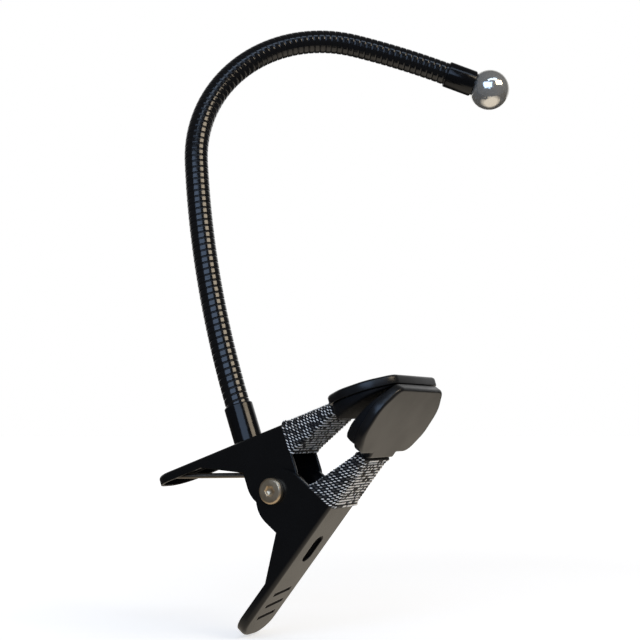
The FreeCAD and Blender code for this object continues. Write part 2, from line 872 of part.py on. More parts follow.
def make_tip_ferrule():
    """Turned cap at the arm's end, bored for the neck, for the ball's shank and for its underside."""
    bore = NECK_RADIUS + dim.neck_clearance
    hole = dim.ball_shank_diameter / 2 + dim.neck_screw_clearance
    length = dim.tip_ferrule_length
    outer = dim.ferrule_diameter / 2
    hole_floor = length - dim.ball_shank_seat - dim.neck_screw_clearance
    seat = root(dim.ball_sink * (dim.ball_diameter - dim.ball_sink)) + dim.ball_clearance
    seat_floor = length - dim.ball_sink - dim.ball_clearance
    corners = [
        (bore, as_size(0)),
        (outer, as_size(0)),
        (outer, length),
        (seat, length),
        (seat, seat_floor),
        (hole, seat_floor),
        (hole, hole_floor),
        (as_size(0), hole_floor),
        (as_size(0), dim.neck_seat),
        (bore, dim.neck_seat),
    ]
    return turned("tip_ferrule", corners, NECK_END)


def make_neck_screw():
    """Pan-head screw, up through the upper lever's slot into the base ferrule."""
    radius = dim.neck_screw_diameter / 2
    head = dim.neck_screw_head_diameter / 2
    under = -dim.sheet_gauge - dim.washer_thickness
    corners = [
        (as_size(0), under - dim.neck_screw_head_height),
        (head, under - dim.neck_screw_head_height),
        (head, under),
        (radius, under),
        (radius, dim.neck_screw_grip),
        (as_size(0), dim.neck_screw_grip),
    ]
    return turned("neck_screw", corners, NECK_BASE)


def make_neck_washer():
    bore = dim.neck_screw_diameter / 2 + dim.neck_screw_clearance
    top = -dim.sheet_gauge
    corners = [
        (bore, top - dim.washer_thickness),
        (dim.washer_diameter / 2, top - dim.washer_thickness),
        (dim.washer_diameter / 2, top),
        (bore, top),
    ]
    return turned("neck_washer", corners, NECK_BASE)


def make_ball_stud():
    """Ball with a short shank, turned in one piece, with a small flat at its far end."""
    radius = dim.ball_diameter.value / 2
    shank = dim.ball_shank_diameter.value / 2
    flat = dim.ball_flat_diameter.value / 2
    centre = (dim.tip_ferrule_length + BALL_STANDOFF).value
    body = new_body("ball_stud", NECK_END.multiply(along(centre)))
    sketch = place_sketch(body, "ball_stud_profile", "XZ_Plane", None)
    foot = -BALL_STANDOFF.value - dim.ball_shank_seat.value
    shank_top = -math.sqrt(radius * radius - shank * shank)
    flat_top = math.sqrt(radius * radius - flat * flat)
    points = [
        Vector(0, foot, 0),
        Vector(shank, foot, 0),
        Vector(shank, shank_top, 0),
        Vector(flat, flat_top, 0),
        Vector(0, flat_top, 0),
    ]
    for first, second in ((0, 1), (1, 2), (3, 4), (4, 0)):
        sketch.addGeometry(Part.LineSegment(points[first], points[second]))
    sphere = Part.Circle(Vector(), Vector(0, 0, 1), radius)
    arc = Part.ArcOfCircle(sphere, math.atan2(shank_top, shank), math.atan2(flat_top, flat))
    sketch.addGeometry(arc)
    for first, second in ((0, 1), (2, 3), (3, 0)):
        sketch.addConstraint(Sketcher.Constraint("Coincident", first, 2, second, 1))
    sketch.addConstraint(Sketcher.Constraint("Coincident", 1, 2, 4, 1))
    sketch.addConstraint(Sketcher.Constraint("Coincident", 4, 2, 2, 1))
    sketch.addConstraint(Sketcher.Constraint("Vertical", 1))
    sketch.addConstraint(Sketcher.Constraint("Horizontal", 2))
    sketch.addConstraint(Sketcher.Constraint("PointOnObject", 2, 2, -2))
    tie_point(sketch, 4, 3, 0, 0)
    tie_point(sketch, 0, 1, 0, -BALL_STANDOFF - dim.ball_shank_seat)
    tie_point(sketch, 0, 2, dim.ball_shank_diameter / 2, -BALL_STANDOFF - dim.ball_shank_seat)
    width = sketch.addConstraint(Sketcher.Constraint("DistanceX", -1, 1, 2, 1, flat))
    sketch.setExpression(f"Constraints[{width}]", (dim.ball_flat_diameter / 2).formula)
    size = sketch.addConstraint(Sketcher.Constraint("Radius", 4, radius))
    sketch.setExpression(f"Constraints[{size}]", (dim.ball_diameter / 2).formula)
    feature = body.newObject("PartDesign::Revolution", "ball_stud_turning")
    feature.Profile = sketch
    feature.ReferenceAxis = (sketch, ["V_Axis"])
    feature.Angle = 360.0
    doc.recompute()
    return body


def make_all():
    pieces = []
    for side, place in (("upper", UPPER), ("lower", LOWER)):
        pieces.append(make_lever(f"{side}_lever", place))
        pieces.append(make_sleeve(f"{side}_jaw_sleeve", place))
        pieces.append(make_shell(f"{side}_jaw_shell", place))
        pieces.append(make_pad(f"{side}_jaw_pad", place))
    pieces += [make_pivot_screw(), make_spacer(), make_nut(), make_spring()]
    pieces += [make_base_ferrule(), make_neck_screw(), make_neck_washer()]
    pieces += [make_link(index) for index in range(LINK_COUNT)]
    pieces += [make_tip_ferrule(), make_ball_stud()]
    return pieces


def check_and_write(pieces):
    doc.recompute()
    failed = [item.Name for item in doc.Objects if "Invalid" in item.State or "Error" in item.State]
    if failed:
        raise RuntimeError(f"failed objects: {failed}")
    for piece in pieces:
        shape = piece.Shape
        if shape.isNull() or not shape.isValid() or len(shape.Solids) != 1:
            raise RuntimeError(f"{piece.Label} is not one valid solid")
    os.makedirs("parts", exist_ok=True)
    for piece in pieces:
        piece.Shape.exportStep(f"parts/{piece.Label}.step")
    print(len(pieces), "pieces written")


check_and_write(make_all())
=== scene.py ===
# %% [markdown]
# # A clamp-on gooseneck arm
# A spring clamp of two pressed steel levers carries a ribbed, bendable arm with a polished ball at its
# end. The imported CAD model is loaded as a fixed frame, and each step below dresses one part of it:
# first the sizes that the pieces share, then the finishes, the pieces, and the studio.

# %% Load the frame
import json
import math

import bmesh
import bpy
from mathutils import Matrix, Vector


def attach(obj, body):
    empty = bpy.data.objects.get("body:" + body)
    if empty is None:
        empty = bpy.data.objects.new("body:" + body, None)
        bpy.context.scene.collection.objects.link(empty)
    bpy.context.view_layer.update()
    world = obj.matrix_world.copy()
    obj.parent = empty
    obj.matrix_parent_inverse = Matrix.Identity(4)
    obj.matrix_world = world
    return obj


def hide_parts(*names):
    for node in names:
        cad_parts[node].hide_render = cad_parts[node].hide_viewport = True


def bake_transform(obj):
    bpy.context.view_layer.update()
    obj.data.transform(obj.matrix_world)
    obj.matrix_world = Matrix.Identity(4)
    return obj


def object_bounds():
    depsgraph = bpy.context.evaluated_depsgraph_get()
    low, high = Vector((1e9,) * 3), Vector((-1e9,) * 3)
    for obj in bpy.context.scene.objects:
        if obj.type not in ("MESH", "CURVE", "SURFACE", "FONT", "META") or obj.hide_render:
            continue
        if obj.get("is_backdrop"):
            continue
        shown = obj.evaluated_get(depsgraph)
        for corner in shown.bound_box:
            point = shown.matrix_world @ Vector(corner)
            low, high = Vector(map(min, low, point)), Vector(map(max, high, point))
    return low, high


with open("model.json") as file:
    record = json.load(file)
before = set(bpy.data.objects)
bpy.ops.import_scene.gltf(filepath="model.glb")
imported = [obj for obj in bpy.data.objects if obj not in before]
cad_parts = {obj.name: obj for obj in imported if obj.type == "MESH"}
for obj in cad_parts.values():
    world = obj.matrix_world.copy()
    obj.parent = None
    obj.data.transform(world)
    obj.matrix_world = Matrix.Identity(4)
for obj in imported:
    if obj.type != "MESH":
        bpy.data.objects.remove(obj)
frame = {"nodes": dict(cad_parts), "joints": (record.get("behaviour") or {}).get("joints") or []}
cad_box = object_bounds()
nodes = frame["nodes"]

# %% [markdown]
# ## Where the pieces sit
# Each lever has its own frame: X runs along its web to the jaw, Z from the pivot out through the web.
# The lower lever is the same pressing turned over. Sizes are in millimetres in these frames, and one
# scale at the front of each frame turns them into Blender's metres.

# %% Frames of the levers, jaws and neck
MM = 0.001
BISECTOR = 35.7  # degrees that the line halfway between the levers points up
HALF_ANGLE = 16.0203  # degrees from that line to each lever
SIDE_STEP = 0.7  # how far each lever stands to one side, so that their ears pass
WEB_OFFSET = 21.7  # pivot to the outer face of the web
LEVER_HALF_WIDTH = 9.6
ARM_LENGTH = 33.0  # pivot to the jaw's seat, along the web
JAW_TILT = 3.2
NECK_PLACE = -10.4  # foot of the neck, along the web
NECK_HEADING = 39.5  # degrees that the neck's plane is turned from the web's line

hinge = next(joint for joint in frame["joints"] if joint["name"] == "jaw_hinge")
pivot = Matrix.Translation(Vector(hinge["pos_m"])) @ Matrix.Scale(MM, 4)


def turn(degrees, axis):
    return Matrix.Rotation(math.radians(degrees), 4, axis)


def shift(x, y, z):
    return Matrix.Translation((x, y, z))


upper_lever = pivot @ turn(HALF_ANGLE - BISECTOR, "Y")
lower_lever = pivot @ turn(-HALF_ANGLE - BISECTOR, "Y") @ turn(180, "X")
levers = {"upper": upper_lever, "lower": lower_lever}
jaw_seat = shift(ARM_LENGTH, SIDE_STEP, WEB_OFFSET) @ turn(JAW_TILT, "Y")
neck_foot = upper_lever @ shift(NECK_PLACE, SIDE_STEP, WEB_OFFSET) @ turn(NECK_HEADING, "Z")
print("neck foot at", [round(value, 4) for value in neck_foot.translation])

# %% [markdown]
# ## Small helpers
# A shader or a geometry tree is a handful of nodes, so one function adds a node with its settings and
# links. Colours are written as the sRGB hex values that a colour picker shows, and Blender wants linear
# ones, so one function turns them over. Most of a noise texture's values lie in a narrow band, which a
# Map Range node spreads out.

# %% Helpers for nodes and colours
NOISE_BAND = {"From Min": 0.3, "From Max": 0.7}


def fill(tree, node, inputs):
    """Set each input to a value, or link it to a socket or to the first output that a node has in use."""
    for key, value in inputs.items():
        if isinstance(value, bpy.types.Node):
            value = next(socket for socket in value.outputs if socket.enabled)
        if isinstance(value, bpy.types.NodeSocket):
            tree.links.new(value, node.inputs[key])
        else:
            node.inputs[key].default_value = value


def add(tree, kind, inputs=None, **settings):
    node = tree.nodes.new(kind)
    for name, value in settings.items():
        setattr(node, name, value)
    fill(tree, node, inputs or {})
    return node


def linear(hex_colour):
    values = [int(hex_colour[start:start + 2], 16) / 255 for start in (1, 3, 5)]
    linear_values = [v / 12.92 if v <= 0.04045 else ((v + 0.055) / 1.055) ** 2.4 for v in values]
    return (*linear_values, 1.0)


def per_mm(size_mm):
    """Scale of a noise texture on Object coordinates whose lumps are about this many millimetres."""
    return 1.0 / (size_mm * MM)


def new_material(name):
    """A material with its tree, its shader, and the place of each point for its textures."""
    material = bpy.data.materials.new(name)
    material.use_nodes = True
    tree = material.node_tree
    coordinates = add(tree, "ShaderNodeTexCoord")
    return material, tree, tree.nodes["Principled BSDF"], coordinates.outputs["Object"]


print("middle grey #808080 is", round(linear("#808080")[0], 4), "in linear light")

# %% [markdown]
# ## Satin black powder coat
# The levers are sheet steel under a baked powder coat. The powder melts into a film with a fine orange
# peel, so the coat is black with a soft, slightly uneven gloss. A noise of about the peel's size drives a
# faint bump, and a broader one varies the roughness where hands have polished it. The film rounds the
# cut edges of the sheet too, so a bevel in the shader softens how they catch the light.

# %% Powder coat
lever_paint, tree, shader, place = new_material("black_powder_coat_on_steel")
peel = add(tree, "ShaderNodeTexNoise", {"Vector": place, "Scale": per_mm(0.55), "Detail": 2.0})
wear = add(tree, "ShaderNodeTexNoise", {"Vector": place, "Scale": per_mm(9.0), "Detail": 4.0})
gloss = add(tree, "ShaderNodeMapRange", {"Value": wear, **NOISE_BAND, "To Min": 0.20, "To Max": 0.28})
edge = add(tree, "ShaderNodeBevel", {"Radius": 0.55 * MM}, samples=6)
relief = {"Height": peel, "Strength": 0.10, "Distance": 0.06 * MM}
bump = add(tree, "ShaderNodeBump", {**relief, "Normal": edge})
fill(tree, shader, {
    "Base Color": linear("#08090b"),
    "Roughness": gloss,
    "Normal": bump,
    "IOR": 1.5,
})
print("finish:", lever_paint.name)

# %% [markdown]
# ## Moulded nylon of the jaw caps
# The caps are moulded, so their skin copies a fine spark-eroded grain from the mould. It reads as a soft
# sheen rather than as a gloss. The grain is drawn a little coarser than the real one so that it shows.

# %% Moulded nylon
cap_nylon, tree, shader, place = new_material("moulded_black_nylon")
grain = add(tree, "ShaderNodeTexNoise", {"Vector": place, "Scale": per_mm(0.35), "Detail": 3.0})
cloud = add(tree, "ShaderNodeTexNoise", {"Vector": place, "Scale": per_mm(14.0), "Detail": 3.0})
gloss = add(tree, "ShaderNodeMapRange", {"Value": cloud, **NOISE_BAND, "To Min": 0.30, "To Max": 0.38})
bump = add(tree, "ShaderNodeBump", {"Height": grain, "Strength": 0.08, "Distance": 0.05 * MM})
fill(tree, shader, {
    "Base Color": linear("#0d0e11"),
    "Roughness": gloss,
    "Normal": bump,
    "IOR": 1.53,
})
print("finish:", cap_nylon.name)

# %% [markdown]
# ## Textured rubber of the pads
# The pads are soft rubber with a pebbled face for grip. Rubber scatters light, so it is matt. The pebbles
# are cells a little under a millimetre across, raised by a bump, and a finer noise stands for the dust
# that rubber picks up: it roughens the bump and varies the shade.

# %% Pebbled rubber
pad_rubber, tree, shader, place = new_material("pebbled_black_rubber")
pebbles = add(tree, "ShaderNodeTexVoronoi", {"Vector": place, "Scale": per_mm(0.8)})
dust = add(tree, "ShaderNodeTexNoise", {"Vector": place, "Scale": per_mm(0.4), "Detail": 4.0})
hollow = add(tree, "ShaderNodeMath", {0: pebbles, 1: dust}, operation="ADD")
relief = {"Height": hollow, "Strength": 0.55, "Distance": 0.18 * MM}
bump = add(tree, "ShaderNodeBump", relief, invert=True)
shades = {0: dust, "A": linear("#060709"), "B": linear("#131418")}
tint = add(tree, "ShaderNodeMix", shades, data_type="RGBA")
fill(tree, shader, {
    "Base Color": tint,
    "Normal": bump,
    "Roughness": 0.7,
    "Specular IOR Level": 0.2,
})
print("finish:", pad_rubber.name)

# %% [markdown]
# ## The neck's shrunk skin and the enamelled ferrules
# A black plastic skin is shrunk over the wound neck and follows every turn. The body of the skin is dull,
# and its outermost film is smooth and clear, so a coat over a weak base reflection gives each crest a
# sharp highlight and keeps the rest black. The ferrules are turned metal under a glossy black enamel,
# which shows long, clean highlights, a little wavy where the enamel ran.

# %% Shrunk skin and gloss enamel
neck_skin, tree, shader, place = new_material("shrunk_black_polyolefin_skin")
ripple = add(tree, "ShaderNodeTexNoise", {"Vector": place, "Scale": per_mm(1.6), "Detail": 3.0})
gloss = add(tree, "ShaderNodeMapRange", {"Value": ripple, **NOISE_BAND, "To Min": 0.16, "To Max": 0.26})
bump = add(tree, "ShaderNodeBump", {"Height": ripple, "Strength": 0.12, "Distance": 0.12 * MM})
fill(tree, shader, {
    "Base Color": linear("#0a0b0e"),
    "Roughness": gloss,
    "Normal": bump,
    "IOR": 1.5,
    "Specular IOR Level": 0.2,
    "Coat Weight": 1.0,
    "Coat IOR": 1.45,
    "Coat Roughness": 0.1,
})

ferrule_enamel, tree, shader, place = new_material("gloss_black_enamel")
flow = add(tree, "ShaderNodeTexNoise", {"Vector": place, "Scale": per_mm(3.0), "Detail": 2.0})
gloss = add(tree, "ShaderNodeMapRange", {"Value": flow, **NOISE_BAND, "To Min": 0.12, "To Max": 0.2})
bump = add(tree, "ShaderNodeBump", {"Height": flow, "Strength": 0.08, "Distance": 0.5 * MM})
fill(tree, shader, {
    "Base Color": linear("#08090c"),
    "Roughness": gloss,
    "Normal": bump,
    "IOR": 1.42,
})
print("finishes:", neck_skin.name, ferrule_enamel.name)

# %% [markdown]
# ## Bright metals
# Three bare metals show: nickel plate on the screws and nut, drawn spring wire, and the chromed ball.
# Nickel is a little warm. The screw's face was turned, so fine rings run round its axis, which is the
# line along Y through the pivot. They are drawn coarser than a lathe leaves them so that they show. The
# ball is polished, with the slight haze and smears that handling leaves.

# %% Nickel, spring steel and chrome
RING_SPACING = 0.22

nickel, tree, shader, place = new_material("nickel_plated_steel")
centred = add(tree, "ShaderNodeMapping", {"Vector": place, "Location": -pivot.translation})
flat = add(tree, "ShaderNodeVectorMath", {0: centred, 1: (1.0, 0.0, 1.0)}, operation="MULTIPLY")
radius = add(tree, "ShaderNodeVectorMath", {0: flat}, operation="LENGTH")
per_ring = {0: radius.outputs["Value"], 1: 2 * math.pi / (RING_SPACING * MM)}
rings = add(tree, "ShaderNodeMath", per_ring, operation="MULTIPLY")
wave = add(tree, "ShaderNodeMath", {0: rings}, operation="SINE")
haze = add(tree, "ShaderNodeTexNoise", {"Vector": place, "Scale": per_mm(1.2), "Detail": 4.0})
gloss = add(tree, "ShaderNodeMapRange", {"Value": haze, **NOISE_BAND, "To Min": 0.32, "To Max": 0.46})
bump = add(tree, "ShaderNodeBump", {"Height": wave, "Strength": 0.06, "Distance": 0.03 * MM})
fill(tree, shader, {
    "Base Color": linear("#e6cfae"),
    "Metallic": 1.0,
    "Roughness": gloss,
    "Normal": bump,
})

spring_steel, tree, shader, place = new_material("drawn_spring_steel")
drawn = add(tree, "ShaderNodeTexNoise", {"Vector": place, "Scale": per_mm(0.7), "Detail": 5.0})
gloss = add(tree, "ShaderNodeMapRange", {"Value": drawn, **NOISE_BAND, "To Min": 0.26, "To Max": 0.44})
fill(tree, shader, {
    "Base Color": linear("#9d968b"),
    "Metallic": 1.0,
    "Roughness": gloss,
})

chrome, tree, shader, place = new_material("polished_chrome")
smear = add(tree, "ShaderNodeTexNoise", {"Vector": place, "Scale": per_mm(4.0), "Detail": 3.0})
sheen = {"Value": smear, "From Min": 0.35, "From Max": 0.7, "To Min": 0.08, "To Max": 0.18}
gloss = add(tree, "ShaderNodeMapRange", sheen)
bump = add(tree, "ShaderNodeBump", {"Height": smear, "Strength": 0.35, "Distance": 0.6 * MM})
fill(tree, shader, {
    "Base Color": linear("#f2f0ea"),
    "Metallic": 0.85,
    "Roughness": gloss,
    "Normal": bump,
})
print("finishes:", nickel.name, spring_steel.name, chrome.name)

# %% [markdown]
# ## Yarns of the braided sleeves
# The sleeves are worked in a pale and a black yarn. Each stitch carries its own shade, a number that the
# geometry tree stores on it, so that the rows look spun rather than printed: about half the stitches are
# pale, and the rest run down to black. The ground under the stitches is the black yarn, fuzzy and matt.

# %% Pale and black yarn
pale_yarn, tree, shader, place = new_material("pale_polyester_yarn")
shade = add(tree, "ShaderNodeAttribute", attribute_name="shade")
tint = add(tree, "ShaderNodeValToRGB", {"Fac": shade.outputs["Fac"]})
ramp = tint.color_ramp.elements
ramp[0].color = linear("#1c1b1a")
ramp[1].color = linear("#fbf9f5")
ramp[1].position = 0.45
ramp.new(0.2).color = linear("#5a5754")
fibre = add(tree, "ShaderNodeTexNoise", {"Vector": place, "Scale": per_mm(0.18), "Detail": 3.0})
bump = add(tree, "ShaderNodeBump", {"Height": fibre, "Strength": 0.35, "Distance": 0.08 * MM})
fill(tree, shader, {
    "Base Color": tint,
    "Normal": bump,
    "Roughness": 0.6,
    "Sheen Weight": 0.15,
})

black_yarn, tree, shader, place = new_material("black_polyester_yarn")
fibre = add(tree, "ShaderNodeTexNoise", {"Vector": place, "Scale": per_mm(0.3), "Detail": 4.0})
bump = add(tree, "ShaderNodeBump", {"Height": fibre, "Strength": 0.5, "Distance": 0.1 * MM})
fill(tree, shader, {
    "Base Color": linear("#08080a"),
    "Normal": bump,
    "Roughness": 0.75,
})
print("finishes:", pale_yarn.name, black_yarn.name)

# %% [markdown]
# ## Dressing the pieces that keep their CAD shape
# The levers come straight from the CAD model, where they are already pressed, folded, slotted and
# grooved, so they only need their finish. The spacer and the washer hide inside the clamp and keep their
# shape too.

# %% Finishes on CAD nodes
kept = {
    "upper_lever": lever_paint,
    "lower_lever": lever_paint,
    "pivot_spacer": spring_steel,
    "neck_washer": nickel,
}
for node, material in kept.items():
    nodes[node].data.materials.clear()
    nodes[node].data.materials.append(material)
print("kept CAD shapes:", ", ".join(kept))

# %% [markdown]
# ## A builder for stacked sections
# Turned, moulded and drawn pieces can all be seen as a stack of closed sections: circles for a ferrule,
# rounded outlines for a jaw cap. One function joins each section to the next and closes both ends, unless
# the piece is open. A section can have any shape as long as every section of the piece has the same
# number of points. Edges that turn by more than the crisp angle stay crisp, and the rest shade smoothly.

# %% Stacking sections
CRISP_ANGLE = math.radians(38)
SIDES = 72  # points round a section that has to meet a hexagon or a thread
TURNED_SIDES = 64


def stack(name, sections, material, closed=True):
    mesh = bpy.data.meshes.new(name)
    shape = bmesh.new()
    rows = [[shape.verts.new(point) for point in section] for section in sections]
    count = len(sections[0])
    for low, high in zip(rows, rows[1:]):
        for step in range(count):
            after = (step + 1) % count
            shape.faces.new((low[step], low[after], high[after], high[step]))
    if closed:
        shape.faces.new(rows[0])
        shape.faces.new(rows[-1])
    bmesh.ops.recalc_face_normals(shape, faces=shape.faces)
    for face in shape.faces:
        face.smooth = True
    shape.to_mesh(mesh)
    shape.free()
    mesh.set_sharp_from_angle(angle=CRISP_ANGLE)
    piece = bpy.data.objects.new(name, mesh)
    bpy.context.collection.objects.link(piece)
    mesh.materials.append(material)
    return piece


def rounded(corners, steps=6):
    """A closed outline through corners of (x, y, radius), each drawn round by its radius."""
    points = []
    count = len(corners)
    for index, (x, y, radius) in enumerate(corners):
        corner = Vector((x, y))
        before = (Vector(corners[index - 1][:2]) - corner).normalized()
        after = (Vector(corners[(index + 1) % count][:2]) - corner).normalized()
        half = before.angle(after) / 2
        centre = corner + (before + after).normalized() * (radius / math.sin(half))
        begin = corner + before * (radius / math.tan(half)) - centre
        finish = corner + after * (radius / math.tan(half)) - centre
        sweep = begin.angle_signed(finish)
        for step in range(steps + 1):
            arm = begin.copy()
            arm.rotate(Matrix.Rotation(-sweep * step / steps, 2))
            points.append(centre + arm)
    return points


def around(reach, count=SIDES):
    """A closed outline at even angles round its centre, as far out as reach gives for each angle."""
    angles = [2 * math.pi * step / count for step in range(count)]
    return [Vector((reach(a) * math.cos(a), reach(a) * math.sin(a))) for a in angles]


def circle(radius, count=SIDES):
    return around(lambda angle: radius, count)


def levelled(name, matrix, levels, material, closed=True):
    """A piece from (outline, height) levels in a frame of its own."""
    sections = [[matrix @ Vector((p.x, p.y, height)) for p in outline] for outline, height in levels]
    return stack(name, sections, material, closed)


def turned(name, matrix, profile, material):
    """A turned piece from (radius, height) points, from one end round to the other."""
    return levelled(name, matrix, [(circle(r, TURNED_SIDES), z) for r, z in profile], material)


def soft_edge(radius, height, size, steps=4):
    """Points of a rounded rim, from the side of a cylinder on to its end face."""
    angles = [math.pi / 2 * step / steps for step in range(steps + 1)]
    return [(radius - size * (1 - math.cos(a)), height + size * (math.sin(a) - 1)) for a in angles]


print("a rounded square has", len(rounded([(0, 0, 1), (9, 0, 1), (9, 9, 1), (0, 9, 1)])), "points")

# %% [markdown]
# ## Geometry trees
# What repeats or follows a path is made by a geometry tree. A modifier's inputs are set by each socket's
# identifier, and the result is turned into a plain mesh, so that nothing is left to evaluate when the
# piece moves or is exported.


# %% Starting a tree, and running it on a path or a mesh
def new_tree(name, inputs, output):
    """An empty geometry tree with an input of each label and kind, one output, and its input sockets."""
    tree = bpy.data.node_groups.new(name, "GeometryNodeTree")
    for label, kind in inputs.items():
        tree.interface.new_socket(label, in_out="INPUT", socket_type="NodeSocket" + kind)
    tree.interface.new_socket(output, in_out="OUTPUT", socket_type="NodeSocketGeometry")
    return tree, add(tree, "NodeGroupInput").outputs


def made_by(tree, name, data, sizes):
    carrier = bpy.data.objects.new(name + "_carrier", data)
    bpy.context.collection.objects.link(carrier)
    modifier = carrier.modifiers.new(tree.name, "NODES")
    modifier.node_group = tree
    sockets = {item.name: item.identifier for item in tree.interface.items_tree if item.in_out == "INPUT"}
    for label, value in sizes.items():
        modifier[sockets[label]] = value
    bpy.context.view_layer.update()
    graph = bpy.context.evaluated_depsgraph_get()
    mesh = bpy.data.meshes.new_from_object(carrier.evaluated_get(graph), depsgraph=graph)
    mesh.name = name
    bpy.data.objects.remove(carrier)
    piece = bpy.data.objects.new(name, mesh)
    bpy.context.collection.objects.link(piece)
    return piece


def path_curve(name, points):
    curve = bpy.data.curves.new(name, "CURVE")
    curve.dimensions = "3D"
    spline = curve.splines.new("POLY")
    spline.points.add(len(points) - 1)
    for point, place in zip(spline.points, points):
        point.co = (*place, 1.0)
    return curve


print("ready to make trees")

# %% [markdown]
# ## The gooseneck
# The real neck is a steel coil with a second wire wound into its gaps, under a shrunk skin, and it holds
# any bend that it is given. It could be a tube with a ring texture, but its outline is ribbed, so the
# ribs are geometry. A geometry tree sweeps a circle along the neck's line and draws the skin in along a
# helix: the distance along the line less the angle round it gives the phase of each turn. The skin
# bridges the wires, so the turns have flat crowns and narrow, smooth valleys.

# %% A tree that winds turns along a path
VALLEY = 0.5  # a turn has its full radius where its sine is above this, over two thirds of its width
turn_inputs = {
    "Path": "Geometry",
    "Radius": "Float",
    "Turn Pitch": "Float",
    "Turn Depth": "Float",
    "Start Run": "Float",
    "Rings": "Int",
    "Sides": "Int",
    "Flat Side": "Vector",
    "Finish": "Material",
}
turns_tree, given = new_tree("wound_turns", turn_inputs, "Neck")
tree = turns_tree
line = add(tree, "GeometryNodeResampleCurve", {"Curve": given["Path"], "Count": given["Rings"]})
upright = {"Curve": line, "Normal": given["Flat Side"]}
aimed = add(tree, "GeometryNodeSetCurveNormal", upright, mode="FREE")
along = add(tree, "GeometryNodeSplineParameter").outputs["Length"]
noted = {"Geometry": aimed, "Name": "run", "Value": along}
with_run = add(tree, "GeometryNodeStoreNamedAttribute", noted)
hoop = {"Resolution": given["Sides"], "Radius": given["Radius"]}
ring = add(tree, "GeometryNodeCurvePrimitiveCircle", hoop)
about = add(tree, "GeometryNodeSplineParameter").outputs["Factor"]
noted = {"Geometry": ring, "Name": "round", "Value": about}
with_round = add(tree, "GeometryNodeStoreNamedAttribute", noted)
swept = {"Curve": with_run, "Profile Curve": with_round, "Fill Caps": True}
tube = add(tree, "GeometryNodeCurveToMesh", swept)

run = add(tree, "GeometryNodeInputNamedAttribute", {"Name": "run"}).outputs[0]
share = add(tree, "GeometryNodeInputNamedAttribute", {"Name": "round"}).outputs[0]
far = add(tree, "ShaderNodeMath", {0: run, 1: given["Start Run"]}, operation="ADD")
count = add(tree, "ShaderNodeMath", {0: far, 1: given["Turn Pitch"]}, operation="DIVIDE")
phase = add(tree, "ShaderNodeMath", {0: count, 1: share}, operation="SUBTRACT")
angle = add(tree, "ShaderNodeMath", {0: phase, 1: math.pi}, operation="MULTIPLY")
swing = add(tree, "ShaderNodeMath", {0: angle}, operation="SINE")
crest = add(tree, "ShaderNodeMath", {0: swing}, operation="ABSOLUTE")
valley = {"Value": crest, "From Min": 0.0, "From Max": VALLEY, "To Min": 0.0, "To Max": 1.0}
broad = add(tree, "ShaderNodeMapRange", valley, interpolation_type="SMOOTHSTEP")
fall = add(tree, "ShaderNodeMath", {0: broad, 1: 1.0}, operation="SUBTRACT")
depth = add(tree, "ShaderNodeMath", {0: fall, 1: given["Turn Depth"]}, operation="MULTIPLY")
outward = add(tree, "GeometryNodeInputNormal").outputs[0]
draw_in = add(tree, "ShaderNodeVectorMath", {0: outward, "Scale": depth}, operation="SCALE")
drawn = add(tree, "GeometryNodeSetPosition", {"Geometry": tube, "Offset": draw_in})
smooth = add(tree, "GeometryNodeSetShadeSmooth", {"Geometry": drawn})
real = add(tree, "GeometryNodeRealizeInstances", {"Geometry": smooth})
painted = add(tree, "GeometryNodeSetMaterial", {"Geometry": real, "Material": given["Finish"]})
add(tree, "NodeGroupOutput", {"Neck": painted})
print("tree:", tree.name, "with", len(tree.nodes), "nodes")

# %% [markdown]
# The neck stands on the upper handle, leans a little, goes over in a crook and reaches out with the ball.
# Its line is stepped turn by turn with the same three bends as the CAD links.

# %% The neck's line
TURN_PITCH = 2.55
TURNS_PER_LINK = 8
FERRULE_LENGTH = 15.0
TIP_FERRULE_LENGTH = 12.5
NECK_RADIUS = 4.75
BENDS = ((5, 13.2), (5, 104.7), (2, 7.3))  # links, and the degrees that they bend in all

turn_ends = [neck_foot @ shift(0, 0, FERRULE_LENGTH)]
for links, bend in BENDS:
    turns = links * TURNS_PER_LINK
    for _ in range(turns):
        lean = turn(bend / turns / 2, "Y")
        turn_ends.append(turn_ends[-1] @ lean @ shift(0, 0, TURN_PITCH) @ lean)
neck_tip = turn_ends[-1]
flat_side = (neck_foot.to_3x3() @ Vector((0, 1, 0))).normalized()
print("neck:", len(turn_ends) - 1, "turns, ends at", [round(value, 4) for value in neck_tip.translation])
